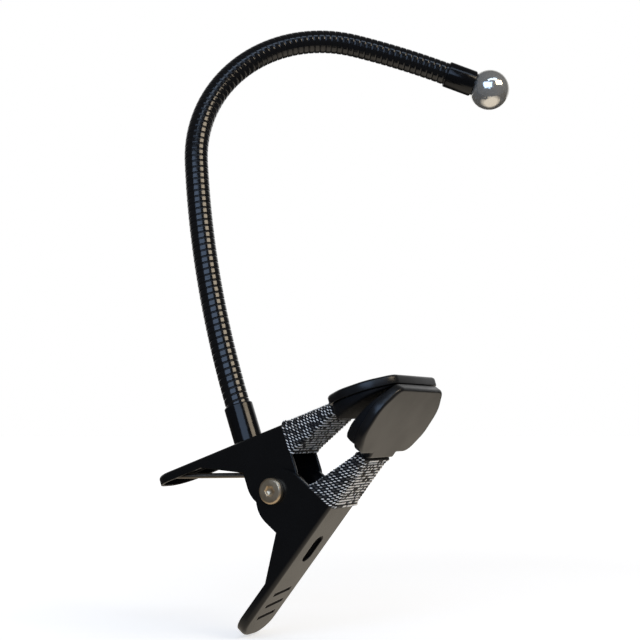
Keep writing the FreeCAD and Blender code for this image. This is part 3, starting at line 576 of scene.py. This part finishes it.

# %% [markdown]
# The CAD neck bends at the joints between its links. Each stretch of skin runs from the middle of one
# link to the middle of the next. The first and the last stretch stay with their ferrules, and the others
# are baked in place. Each stretch reaches a little way into the next, where the turns run on in step,
# so that no seam opens when the neck is bent.

# %% The neck's skin, stretch by stretch
SEATED = 6.0
LAP = 0.4
RINGS_PER_TURN = 20
END_ANGLE = math.radians(60)  # keeps the rim of each cut end crisp and the turns smooth
LINK_COUNT = sum(links for links, bend in BENDS)
half_link = TURNS_PER_LINK // 2
link_bodies = ["upper_jaw"] + [f"neck_{index:02d}" for index in range(2, LINK_COUNT + 1)]
cuts = [0] + [half_link + TURNS_PER_LINK * index for index in range(LINK_COUNT)] + [len(turn_ends) - 1]
neck_pieces = []
for index, (first, last) in enumerate(zip(cuts, cuts[1:])):
    places = [matrix.translation.copy() for matrix in turn_ends[first:last + 1]]
    before = SEATED if index == 0 else LAP
    beyond = SEATED if index == LINK_COUNT else LAP
    places.insert(0, turn_ends[first] @ Vector((0, 0, -before)))
    places.append(turn_ends[last] @ Vector((0, 0, beyond)))
    start_run = first * TURN_PITCH - before
    run_length = sum((far_end - near_end).length for near_end, far_end in zip(places, places[1:]))
    name = f"neck_skin_{index + 1:02d}"
    sizes = {
        "Radius": NECK_RADIUS * MM,
        "Turn Pitch": TURN_PITCH * MM,
        "Turn Depth": 0.24 * MM,
        "Start Run": start_run * MM,
        "Rings": round(run_length / MM / TURN_PITCH * RINGS_PER_TURN) + 1,
        "Sides": 40,
        "Flat Side": flat_side,
        "Finish": neck_skin,
    }
    piece = made_by(turns_tree, name, path_curve(name, places), sizes)
    piece.data.set_sharp_from_angle(angle=END_ANGLE)
    if index == 0:
        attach(piece, link_bodies[0])
    elif index == LINK_COUNT:
        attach(piece, link_bodies[-1])
    else:
        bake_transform(piece)
    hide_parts(*[f"neck_link_{link:02d}" for link in {max(index, 1), min(index + 1, LINK_COUNT)}])
    neck_pieces.append(piece)
face_count = sum(len(piece.data.polygons) for piece in neck_pieces)
print("neck skin:", len(neck_pieces), "stretches,", face_count, "faces")

# %% [markdown]
# ## Ferrules
# Two turned caps close the neck's ends, and their rims are rounded by the turning tool. Each is a stack
# of circles that runs up the outside, over the rim and down into the bore that takes the neck. The tip's
# far end has a shallow recess and a hole for the ball's shank.

# %% Base and tip ferrules
FERRULE_RADIUS = 5.5
BORE = NECK_RADIUS + 0.1
NECK_SEAT = 8.0  # how deep the neck stands in its bore
FOOT_GAP = 0.02
CHAMFER = 0.25
RIM_ROUND = 0.55
TIP_ROUND = 0.7
SCREW_HOLE = 2.6
RECESS = 4.4
RECESS_DEPTH = 1.3
SHANK_HOLE = 3.1
SHANK_DEPTH = 3.4

base_profile = [(SCREW_HOLE, FOOT_GAP), (FERRULE_RADIUS - CHAMFER, FOOT_GAP), (FERRULE_RADIUS, CHAMFER)]
base_profile += soft_edge(FERRULE_RADIUS, FERRULE_LENGTH, RIM_ROUND)
base_profile += [(BORE, FERRULE_LENGTH - CHAMFER), (BORE, FERRULE_LENGTH - NECK_SEAT)]
base_ferrule = turned("base_ferrule", neck_foot, base_profile, ferrule_enamel)
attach(base_ferrule, "upper_jaw")
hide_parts("neck_base_ferrule")

recess_floor = TIP_FERRULE_LENGTH - RECESS_DEPTH
tip_profile = [(BORE, NECK_SEAT), (BORE, CHAMFER)]
tip_profile += [(r, -z) for r, z in reversed(soft_edge(FERRULE_RADIUS, 0.0, RIM_ROUND))]
tip_profile += soft_edge(FERRULE_RADIUS, TIP_FERRULE_LENGTH, TIP_ROUND)
tip_profile += [(RECESS + 0.1, TIP_FERRULE_LENGTH), (RECESS, TIP_FERRULE_LENGTH - 0.2)]
tip_profile += [(RECESS, recess_floor), (SHANK_HOLE, recess_floor)]
tip_profile += [(SHANK_HOLE, TIP_FERRULE_LENGTH - SHANK_DEPTH)]
tip_cap = turned("tip_cap", neck_tip, tip_profile, ferrule_enamel)
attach(tip_cap, link_bodies[-1])
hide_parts("tip_ferrule")
print("ferrules:", base_ferrule.name, tip_cap.name)

# %% [markdown]
# ## The ball
# The ball and its shank are turned in one piece and chromed. A small flat is left at the far end, with
# the hole of the lathe's centre drill, which reads as a dark spot. The profile is an arc, close enough in
# steps that the reflections stay smooth.

# %% Ball stud
BALL_RADIUS = 8.5
BALL_STEPS = 64
SHANK_RADIUS = 3.0
FLAT_RADIUS = 2.5
STANDOFF = 7.3  # end of the ferrule to the ball's centre
CENTRE_HOLE = ((2.3, 0.0), (1.75, 0.0), (1.65, -0.1), (1.6, -2.0), (0.1, -2.8))  # radius, height

ball_centre = neck_tip @ shift(0, 0, TIP_FERRULE_LENGTH + STANDOFF)
shank_end = -STANDOFF - SHANK_DEPTH
low = math.asin(SHANK_RADIUS / BALL_RADIUS)
high = math.pi - math.asin(FLAT_RADIUS / BALL_RADIUS)
ball_profile = [(SHANK_RADIUS - 0.2, shank_end), (SHANK_RADIUS, shank_end + 0.2)]
for step in range(BALL_STEPS + 1):
    angle = low + (high - low) * step / BALL_STEPS
    ball_profile.append((BALL_RADIUS * math.sin(angle), -BALL_RADIUS * math.cos(angle)))
flat_height = math.sqrt(BALL_RADIUS ** 2 - FLAT_RADIUS ** 2)
ball_profile += [(r, flat_height + z) for r, z in CENTRE_HOLE]
ball = turned("chrome_ball", ball_centre, ball_profile, chrome)
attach(ball, link_bodies[-1])
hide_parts("ball_stud")
print("ball centre:", [round(value, 4) for value in ball_centre.translation])

# %% [markdown]
# ## The torsion spring
# The spring is one length of round wire: a close coil round the pivot, with a straight leg under each
# handle. The same tree that winds the neck sweeps it, with no depth to its turns.

# %% Spring wire
WIRE_RADIUS = 1.0
COIL_RADIUS = 5.5
COIL_PITCH = 2.15
WHOLE_TURNS = 3
COIL_STEPS = 96
LEG_LENGTH = 45.936
LEG_ANGLE = 72.035  # degrees round the coil, in a lever's frame, at which its leg leaves

start_angle = LEG_ANGLE + BISECTOR - HALF_ANGLE
end_angle = BISECTOR + HALF_ANGLE - LEG_ANGLE
coil_turns = WHOLE_TURNS + (start_angle - end_angle) / 360
slope = COIL_PITCH / (2 * math.pi * COIL_RADIUS)
coil_height = COIL_PITCH * coil_turns
lay = pivot @ turn(-start_angle, "Y") @ shift(0, -coil_height / 2, 0) @ turn(-90, "X")


def coil_point(angle, beyond):
    """A point of the wire at an angle round the coil, or beyond it along a leg."""
    heading = Vector((-math.sin(angle), math.cos(angle), slope)).normalized()
    point = Vector((math.cos(angle), math.sin(angle), slope * angle)) * COIL_RADIUS
    return lay @ (point + heading * beyond)


last_angle = 2 * math.pi * coil_turns
wire_points = [coil_point(0.0, -LEG_LENGTH)]
wire_points += [coil_point(last_angle * step / COIL_STEPS, 0.0) for step in range(COIL_STEPS + 1)]
wire_points += [coil_point(last_angle, LEG_LENGTH)]
wire_sizes = {
    "Radius": WIRE_RADIUS * MM,
    "Turn Pitch": 1.0,
    "Turn Depth": 0.0,
    "Start Run": 0.0,
    "Rings": 240,
    "Sides": 14,
    "Flat Side": (0.0, 1.0, 0.0),
    "Finish": spring_steel,
}
spring = made_by(turns_tree, "spring_wire", path_curve("spring_wire", wire_points), wire_sizes)
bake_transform(spring)
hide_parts("torsion_spring")
print("spring:", len(spring.data.polygons), "faces,", round(coil_turns, 2), "turns")

# %% [markdown]
# ## Jaw caps
# Each cap is a moulded spade-shaped plate with a short neck where the lever's tongue enters. Its outer
# edge is well rounded, which is what catches the light, so the cap is a stack of the same outline drawn
# in a little more at each step of the rounded edge.

# %% Cap outline and caps
JAW_LENGTH = 29.5
JAW_ROOT = 2.5
ROOT_HALF = 19.5
WIDEST_HALF = 24.5
TIP_HALF = 18.0
STEM_HALF = 9.8
CAP_SKIN = 1.3
CAP_RIM = 2.0
CAP_ROUND = 1.05
ROUND_STEPS = 6
FACE_BAND = 0.25  # a narrow band inside the rounded edge, which keeps the shading of the flat face flat
CAP_LIP = ((0.9, 0.0), (0.35, 0.0), (0.1, 0.12), (0.0, 0.4))  # margin, and height from the rim


def spade(margin, stem):
    """Outline of the jaw, drawn in by a margin, with or without the cap's short neck."""
    half = [
        (JAW_ROOT + margin, ROOT_HALF - margin, 7.0 - margin),
        (11.0, WIDEST_HALF - margin, 10.0 - margin),
        (21.0, WIDEST_HALF - margin, 10.0 - margin),
        (JAW_LENGTH - margin, TIP_HALF - margin, 6.0 - margin),
    ]
    if stem:
        half = [(0.2 + margin, STEM_HALF - margin, 0.5), (JAW_ROOT + margin, STEM_HALF - margin, 0.9)] + half
    return rounded(half + [(x, -y, radius) for x, y, radius in reversed(half)])


cap_levels = [(spade(margin, True), height - CAP_RIM) for margin, height in CAP_LIP]
cap_levels += [(spade(-r, True), z) for r, z in soft_edge(0.0, CAP_SKIN, CAP_ROUND, ROUND_STEPS)]
cap_levels += [(spade(CAP_ROUND + FACE_BAND, True), CAP_SKIN)]
for side, lever in levers.items():
    cap = levelled(f"{side}_cap", lever @ jaw_seat, cap_levels, cap_nylon)
    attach(cap, f"{side}_jaw")
    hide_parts(f"{side}_jaw_shell")
    print(cap.name, len(cap.data.polygons), "faces")

# %% [markdown]
# ## Pads
# A soft pad fills the inside of each cap, thick at the root and thin at the tip. Its rim bulges a little
# over the cap's edge and its face is slightly crowned, so it is a stack of rounded outlines whose inner
# levels follow the slope of the face.

# %% Pads
PAD_ROOT = 5.5
PAD_TIP = 0.15
PAD_START = JAW_ROOT + 0.9
PAD_GAP = 0.02
PAD_MARGINS = (1.3, 1.0, 0.85, 0.9, 1.15, 1.7, 2.6)  # in from the jaw's outline
PAD_SHARES = (0.0, 0.06, 0.35, 0.6, 0.85, 0.97, 1.0)  # of the pad's depth


def pad_height(x, share):
    """Height in the jaw's frame of a point at a share of the pad's depth, x along the jaw."""
    along = min(max((x - PAD_START) / (JAW_LENGTH - PAD_START), 0.0), 1.0)
    depth = PAD_ROOT + (PAD_TIP - PAD_ROOT) * along
    return -CAP_RIM - PAD_GAP - share * (depth - 2 * PAD_GAP)


for side, lever in levers.items():
    seat = lever @ jaw_seat
    sections = []
    for margin, share in zip(PAD_MARGINS, PAD_SHARES):
        outline = spade(margin, False)
        sections.append([seat @ Vector((point.x, point.y, pad_height(point.x, share))) for point in outline])
    pad = stack(f"{side}_pad", sections, pad_rubber)
    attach(pad, f"{side}_jaw")
    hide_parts(f"{side}_jaw_pad")
    print(pad.name, len(pad.data.polygons), "faces")

# %% [markdown]
# ## Braided sleeves
# A sleeve is a tube of black yarn with rows of pale stitches worked round it. The ground tube is a stack
# of outlines, well rounded over the web's edges, and its ends are rolled in, so it stands fuller there.

# %% Ground of the sleeves
SLEEVE_START = 11.0
SLEEVE_END = 32.4
SLEEVE_LENGTH = SLEEVE_END - SLEEVE_START
SLEEVE_STEPS = 26
FLANGE_ROOT = 10.5
FLANGE_TIP = 2.6
EAR_HALF_WIDTH = 10.8
FLANGE_SLOPE = (FLANGE_ROOT - FLANGE_TIP) / (ARM_LENGTH - EAR_HALF_WIDTH)
TOP_ROUND = 3.0
LOW_ROUND = 0.5
YARN = 0.62  # how far the sleeve stands off the arm
ROLL = 0.45  # how much further its rolled ends do
ROLL_WIDTH = 1.1
ROLLED_END = ((0.75, -0.4), (0.4, -0.35), (0.1, 0.3))  # off the arm, and in from the sleeve's end


def sleeve_section(x, grow):
    """Rounded outline round the jaw arm at a distance x from the pivot, as (across, height) points."""
    bottom = WEB_OFFSET - FLANGE_ROOT + FLANGE_SLOPE * (x - EAR_HALF_WIDTH) - grow
    half = LEVER_HALF_WIDTH + grow
    right = [(half, bottom, LOW_ROUND + grow), (half, WEB_OFFSET + grow, TOP_ROUND)]
    return rounded(right + [(-across, height, radius) for across, height, radius in reversed(right)])


def swell(x):
    """How far the sleeve stands off the arm at a distance x, fuller where its ends are rolled in."""
    from_end = min(x - SLEEVE_START, SLEEVE_END - x) / ROLL_WIDTH
    return YARN + ROLL * math.exp(-from_end ** 2)


def on_arm(lever, x, outline):
    return [lever @ Vector((x, SIDE_STEP + point.x, point.y)) for point in outline]


for side, lever in levers.items():
    sections = []
    for step in range(SLEEVE_STEPS + 1):
        x = SLEEVE_START + SLEEVE_LENGTH * step / SLEEVE_STEPS
        sections.append(on_arm(lever, x, sleeve_section(x, swell(x))))
    for grow, inward in ROLLED_END:
        sections.insert(0, on_arm(lever, SLEEVE_START + inward, sleeve_section(SLEEVE_START, grow)))
        sections.append(on_arm(lever, SLEEVE_END - inward, sleeve_section(SLEEVE_END, grow)))
    ground = stack(f"{side}_sleeve_ground", sections, black_yarn, closed=False)
    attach(ground, f"{side}_jaw")
    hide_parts(f"{side}_jaw_sleeve")
    print(ground.name, len(ground.data.polygons), "faces")

# %% [markdown]
# A picture of a weave would look flat at this size, so each stitch is a small bead of yarn, leaning in
# its row. A second tree sets a bead on each point it is given, turned by the two directions stored there,
# and gives each one a shade from a seeded draw.

# %% A tree that works a stitch on each point
stitch_inputs = {
    "Rows": "Geometry",
    "Stitch Length": "Float",
    "Stitch Width": "Float",
    "Stitch Height": "Float",
    "Lean": "Float",
    "Seed": "Int",
    "Finish": "Material",
}
stitch_tree, given = new_tree("worked_stitches", stitch_inputs, "Stitches")
tree = stitch_tree
bead = add(tree, "GeometryNodeMeshUVSphere", {"Segments": 8, "Rings": 5, "Radius": 0.5})
lengths = {"X": given["Stitch Length"], "Y": given["Stitch Width"], "Z": given["Stitch Height"]}
size = add(tree, "ShaderNodeCombineXYZ", lengths)
shaped = add(tree, "GeometryNodeTransform", {"Geometry": bead, "Scale": size})
lean = add(tree, "ShaderNodeCombineXYZ", {"Z": given["Lean"]})
leant = add(tree, "GeometryNodeTransform", {"Geometry": shaped, "Rotation": lean})
row_way = add(tree, "GeometryNodeInputNamedAttribute", {"Name": "row_way"}, data_type="FLOAT_VECTOR")
out_way = add(tree, "GeometryNodeInputNamedAttribute", {"Name": "out_way"}, data_type="FLOAT_VECTOR")
axes = {"Primary Axis": out_way, "Secondary Axis": row_way}
stance = add(tree, "FunctionNodeAxesToRotation", axes, primary_axis="Z", secondary_axis="X")
settled = {"Points": given["Rows"], "Instance": leant, "Rotation": stance}
placed = add(tree, "GeometryNodeInstanceOnPoints", settled)
lot = add(tree, "FunctionNodeRandomValue", {"Seed": given["Seed"]}, data_type="FLOAT")
noted = {"Geometry": placed, "Name": "shade", "Value": lot.outputs[1]}
shaded = add(tree, "GeometryNodeStoreNamedAttribute", noted, domain="INSTANCE")
real = add(tree, "GeometryNodeRealizeInstances", {"Geometry": shaded})
smooth = add(tree, "GeometryNodeSetShadeSmooth", {"Geometry": real})
painted = add(tree, "GeometryNodeSetMaterial", {"Geometry": smooth, "Material": given["Finish"]})
add(tree, "NodeGroupOutput", {"Stitches": painted})
print("tree:", tree.name, "with", len(tree.nodes), "nodes")

# %% [markdown]
# The points lie on the sleeve's own outlines, one stitch apart in each row, and every other row is
# shifted by half a stitch. The beads are drawn coarser than the yarn of a real braid so that they show.

# %% Rows of stitches
ROW_PITCH = 1.3
ROW_EDGE = 0.4  # first and last row, in from the sleeve's ends
STITCH_PITCH = 1.2
FIRST_SEED = 3


def spaced(outline, pitch, shifted):
    """Points one pitch apart along a closed outline, with the way along it and the way out at each."""
    lengths = [(outline[(i + 1) % len(outline)] - point).length for i, point in enumerate(outline)]
    whole = sum(lengths)
    count = round(whole / pitch)
    places = []
    for number in range(count):
        distance = whole * (number + (0.5 if shifted else 0.0)) / count
        index = 0
        while distance > lengths[index]:
            distance -= lengths[index]
            index += 1
        begin = outline[index]
        way = (outline[(index + 1) % len(outline)] - begin).normalized()
        places.append((begin + way * distance, way, Vector((way.y, -way.x))))
    return places


def stitch_points(name, lever):
    points, row_ways, out_ways = [], [], []
    rows_length = SLEEVE_LENGTH - 2 * ROW_EDGE
    row_count = round(rows_length / ROW_PITCH)
    turn_only = lever.to_3x3().normalized()
    for row in range(row_count + 1):
        x = SLEEVE_START + ROW_EDGE + rows_length * row / row_count
        for place, way, out in spaced(sleeve_section(x, swell(x)), STITCH_PITCH, row % 2):
            points.append(lever @ Vector((x, SIDE_STEP + place.x, place.y)))
            row_ways.append(turn_only @ Vector((0, way.x, way.y)))
            out_ways.append(turn_only @ Vector((0, out.x, out.y)))
    mesh = bpy.data.meshes.new(name)
    mesh.from_pydata(points, [], [])
    for label, ways in (("row_way", row_ways), ("out_way", out_ways)):
        attribute = mesh.attributes.new(label, "FLOAT_VECTOR", "POINT")
        attribute.data.foreach_set("vector", [value for way in ways for value in way])
    return mesh


for seed, (side, lever) in enumerate(levers.items(), start=FIRST_SEED):
    stitch_sizes = {
        "Stitch Length": 1.3 * MM,
        "Stitch Width": 0.42 * MM,
        "Stitch Height": 0.6 * MM,
        "Lean": math.radians(35),
        "Seed": seed,
        "Finish": pale_yarn,
    }
    name = f"{side}_sleeve_stitches"
    stitches = made_by(stitch_tree, name, stitch_points(name, lever), stitch_sizes)
    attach(stitches, f"{side}_jaw")
    print(stitches.name, len(stitches.data.polygons), "faces")

# %% [markdown]
# ## Screws and the lock nut
# The pivot screw has a low round head with a hex socket, a plain shank and a thread at its far end, where
# a lock nut holds it. A stack of sections can carry all of it: the socket is a section whose radius
# follows a hexagon, and a thread is a radius that rises and falls along a helix.

# %% Sections for hexagons and threads
SHANK = 2.5
THREAD_DEPTH = 0.28
THREAD_PITCH = 0.8


def hexagon(size):
    """A hexagon, flat to flat across size."""
    return around(lambda angle: size / 2 / math.cos((angle % (math.pi / 3)) - math.pi / 6))


def cut_round(outline, radius):
    """The outline with whatever lies beyond a radius cut back to it."""
    return [point * min(1.0, radius / point.length) for point in outline]


def thread(height):
    """A section through the screw's thread at a height along it."""
    def reach(angle):
        share = (height / THREAD_PITCH - angle / (2 * math.pi)) % 1.0
        return SHANK - THREAD_DEPTH * (1 - abs(2 * share - 1))

    return around(reach)


print("hexagon corner at", round(max(point.length for point in hexagon(8.0)), 3), "mm")

# %% Pivot screw
EAR_OUTER = LEVER_HALF_WIDTH + SIDE_STEP
PLAY = 0.05
HEAD = 4.7
HEAD_HEIGHT = 2.3
HEAD_EDGE = ((0.75, 0.0), (0.62, 0.02), (0.55, 0.08), (0.08, 0.5), (0.02, 0.58), (0.0, 0.68))  # inset, depth
SCREW_LENGTH = 26.7
THREAD_START = 20.7
THREAD_STEPS = 60

screw_frame = pivot @ shift(0, -EAR_OUTER - PLAY, 0) @ turn(-90, "X")
socket = [(circle(0.3), 1.2), (hexagon(2.7), 1.0), (hexagon(3.0), 0.85)]
socket += [(hexagon(3.0), 0.4), (hexagon(3.75), 0.0)]
edge = [(circle(HEAD - inset), depth) for inset, depth in HEAD_EDGE]
screw_levels = [(outline, depth - HEAD_HEIGHT) for outline, depth in socket + edge]
screw_levels += [(circle(HEAD), -0.2), (circle(HEAD - 0.2), 0.0)]
screw_levels += [(circle(SHANK), 0.0), (circle(SHANK), THREAD_START - 0.1)]
for step in range(THREAD_STEPS + 1):
    height = THREAD_START + (SCREW_LENGTH - THREAD_START - 0.3) * step / THREAD_STEPS
    screw_levels.append((thread(height), height))
screw_levels.append((circle(SHANK - 0.6), SCREW_LENGTH))
pivot_bolt = levelled("pivot_bolt", screw_frame, screw_levels, nickel)
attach(pivot_bolt, "upper_jaw")
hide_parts("pivot_screw")
print(pivot_bolt.name, len(pivot_bolt.data.polygons), "faces")

# %% Lock nut and neck screw
NUT_BORE = 2.56
SCREW_SEAT = -2.2  # the neck screw's head bears on its washer here, below the neck's foot

nut_frame = pivot @ shift(0, EAR_OUTER + PLAY, 0) @ turn(-90, "X")
nut = hexagon(8.0)
chamfered = cut_round(nut, 4.05)
nut_levels = [(circle(NUT_BORE), 0.0), (circle(3.7), 0.0), (chamfered, 0.12), (nut, 0.5)]
nut_levels += [(nut, 3.2), (chamfered, 3.65), (circle(3.55), 3.85), (circle(3.45), 4.7)]
nut_levels += [(circle(3.2), 4.98), (circle(NUT_BORE), 4.98)]
lock_nut = levelled("lock_nut", nut_frame, nut_levels, nickel, closed=False)
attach(lock_nut, "upper_jaw")
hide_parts("pivot_nut")

socket = [(circle(0.3), -1.1), (hexagon(2.6), -1.2), (hexagon(3.0), -1.4), (hexagon(3.0), -2.6)]
dome = [(hexagon(3.3), -2.78), (circle(2.9), -2.78), (circle(3.7), -2.5), (circle(4.2), -1.7)]
dome += [(circle(4.3), -0.8), (circle(4.3), 0.0), (circle(SHANK), 0.0)]
neck_levels = [(outline, SCREW_SEAT + height) for outline, height in socket + dome]
neck_levels += [(circle(SHANK), 4.9)]
neck_bolt = levelled("neck_bolt", neck_foot, neck_levels, nickel)
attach(neck_bolt, "upper_jaw")
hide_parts("neck_screw")
print("fasteners:", pivot_bolt.name, lock_nut.name, neck_bolt.name)

# %% [markdown]
# ## Studio
# The object is photographed a little from below, on white. The camera's place and lens were solved from
# points on the levers, jaws, neck and ball.

# %% Camera
CAMERA_PLACE = (0.1797, -0.3716, -0.0026)
azimuth = math.radians(28.87)
elevation = math.radians(-4.94)

camera_data = bpy.data.cameras.new("camera")
camera_data.sensor_width = 36.0
camera_data.lens = 65.25
camera_data.clip_start = 0.01
camera = bpy.data.objects.new("camera", camera_data)
bpy.context.collection.objects.link(camera)
camera.rotation_euler = (math.pi / 2 - elevation, 0.0, azimuth)
camera.location = CAMERA_PLACE
bpy.context.scene.camera = camera
print("camera at", [round(value, 4) for value in camera.location])

# %% [markdown]
# A pale floor under the lowest handle fills the lower half of the frame and keeps the object's shadow.
# To the camera it also glows a little, more with distance, so that it runs out into the white. In a
# reflection the floor is dark apart from one painted pool of warm light beside the clamp, an emission
# that only reflections see, which is what turns the web and the cap of the lower lever warm grey.

# %% Floor
BLACK = (0.0, 0.0, 0.0, 1.0)
FLOOR_FRONT = -0.08
FLOOR_BACK = 5.0
FLOOR_SIDE = 3.0
FLOOR_GAP = 0.0008
# Place and reach of the painted pool of warm light that reflections see on the floor.
PAINTED_POOL_PLACE = (0.03, 0.12)
PAINTED_POOL = {"From Min": 0.12, "From Max": 0.24, "To Min": 1.0, "To Max": 0.04}
GLOW = {"From Min": 0.15, "From Max": 0.6, "To Min": 0.55, "To Max": 0.82}

view_turn = Matrix.Rotation(azimuth, 4, "Z")
floor_height = cad_box[0][2] - FLOOR_GAP
corners = [(-FLOOR_SIDE, FLOOR_FRONT), (FLOOR_SIDE, FLOOR_FRONT)]
corners += [(FLOOR_SIDE, FLOOR_BACK), (-FLOOR_SIDE, FLOOR_BACK)]
floor_mesh = bpy.data.meshes.new("floor")
floor_mesh.from_pydata([view_turn @ Vector((x, y, floor_height)) for x, y in corners], [], [(0, 1, 2, 3)])
floor = bpy.data.objects.new("floor", floor_mesh)
bpy.context.collection.objects.link(floor)

floor_paper, tree, shader, place = new_material("pale_paper_floor")
ray = add(tree, "ShaderNodeLightPath").outputs
away = {0: place, 1: (*PAINTED_POOL_PLACE, floor_height)}
distance = add(tree, "ShaderNodeVectorMath", away, operation="DISTANCE").outputs["Value"]
# Painted pool of warm light: an emission that only reflections see, fading out from a point beside the
# clamp.
painted_pool = add(tree, "ShaderNodeMapRange", {"Value": distance, **PAINTED_POOL})
painted_pool_seen = add(tree, "ShaderNodeMath", {0: ray["Is Glossy Ray"], 1: painted_pool}, operation="MULTIPLY")
painted_reflection = add(tree, "ShaderNodeMix", {0: painted_pool_seen, "A": BLACK, "B": linear("#e4d9c8")}, data_type="RGBA")
glow = add(tree, "ShaderNodeMapRange", {"Value": distance, **GLOW})
direct = {0: ray["Is Camera Ray"], 1: ray["Is Transmission Ray"]}
seen = add(tree, "ShaderNodeMath", direct, operation="MAXIMUM")
bright = add(tree, "ShaderNodeMix", {0: seen, "A": painted_reflection, "B": glow}, data_type="RGBA")
shades = {0: ray["Is Glossy Ray"], "A": linear("#e9e9e9"), "B": BLACK}
paper = add(tree, "ShaderNodeMix", shades, data_type="RGBA")
fill(tree, shader, {
    "Base Color": paper,
    "Roughness": 0.9,
    "Emission Color": bright,
    "Emission Strength": 1.0,
})
floor_mesh.materials.append(floor_paper)
floor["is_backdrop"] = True
print("floor at", round(floor_height, 4), "m")

# %% [markdown]
# The world is white wherever the camera looks past the floor. A reflection sees the same white ahead of
# the camera and a dim room behind it, which is what keeps black gloss black.

# %% World
ROOM = {"From Min": 0.45, "From Max": 0.98, "To Min": 0.07, "To Max": 1.0}
WHITE = 1.0
FILL_LIGHT = 0.3

world = bpy.data.worlds.new("studio")
bpy.context.scene.world = world
world.use_nodes = True
tree = world.node_tree
ray = add(tree, "ShaderNodeLightPath").outputs
way = add(tree, "ShaderNodeTexCoord").outputs["Generated"]
view_way = (-math.sin(azimuth), math.cos(azimuth), 0.0)
ahead = add(tree, "ShaderNodeVectorMath", {0: way, 1: view_way}, operation="DOT_PRODUCT")
sides = {"Value": ahead.outputs["Value"], **ROOM}
room = add(tree, "ShaderNodeMapRange", sides, interpolation_type="SMOOTHSTEP")
direct = {0: ray["Is Camera Ray"], 1: ray["Is Transmission Ray"]}
seen = add(tree, "ShaderNodeMath", direct, operation="MAXIMUM")
reflected = add(tree, "ShaderNodeMix", {0: ray["Is Glossy Ray"], "A": FILL_LIGHT, "B": room})
strength = add(tree, "ShaderNodeMix", {0: seen, "A": reflected, "B": WHITE})
background = {"Color": (1.0, 1.0, 1.0, 1.0), "Strength": strength}
fill(tree, tree.nodes["Background"], background)
print("world:", world.name, "with", len(tree.nodes), "nodes")

# %% [markdown]
# Three soft boxes light the object. A broad, cool window in front gives the neck its blue band. A small
# warm lamp to the right stands at the height where only the upright part of the neck mirrors it. A thin
# strip overhead draws the line along the crook.

# %% Soft boxes
SUBJECT = Vector((-0.04, 0.02, 0.05))


def soft_box(name, round_view, height, distance, size, watts, colour):
    """A soft box aimed at the object, placed by its angle round from the camera and its height angle."""
    lamp = bpy.data.lights.new(name, "AREA")
    lamp.shape = "RECTANGLE"
    lamp.size, lamp.size_y = size
    lamp.energy = watts
    lamp.color = linear(colour)[:3]
    box = bpy.data.objects.new(name, lamp)
    bpy.context.collection.objects.link(box)
    heading = azimuth + math.radians(round_view)
    level = math.cos(math.radians(height))
    way = Vector((math.sin(heading) * level, -math.cos(heading) * level, math.sin(math.radians(height))))
    box.location = SUBJECT + way * distance
    box.rotation_euler = (-way).to_track_quat("-Z", "Y").to_euler()


soft_box("window", -14, 20, 1.2, (1.05, 0.8), 6.2, "#b9d6ff")
soft_box("lamp", 58, 33, 1.1, (0.62, 0.3), 4.2, "#fbe9cd")
soft_box("strip", 20, 52, 1.1, (0.9, 0.2), 1.3, "#c6dcf8")

# %% [markdown]
# The Standard view leaves white as white. The sizes of the CAD model and of the dressed one are
# gathered side by side.

# %% Settings and sizes
bpy.context.scene.view_settings.view_transform = "Standard"
visual_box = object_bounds()
sizes = {
    "cad": [list(corner) for corner in cad_box],
    "visual": [list(corner) for corner in visual_box],
}
print("visual box:", [[round(value, 4) for value in corner] for corner in visual_box])
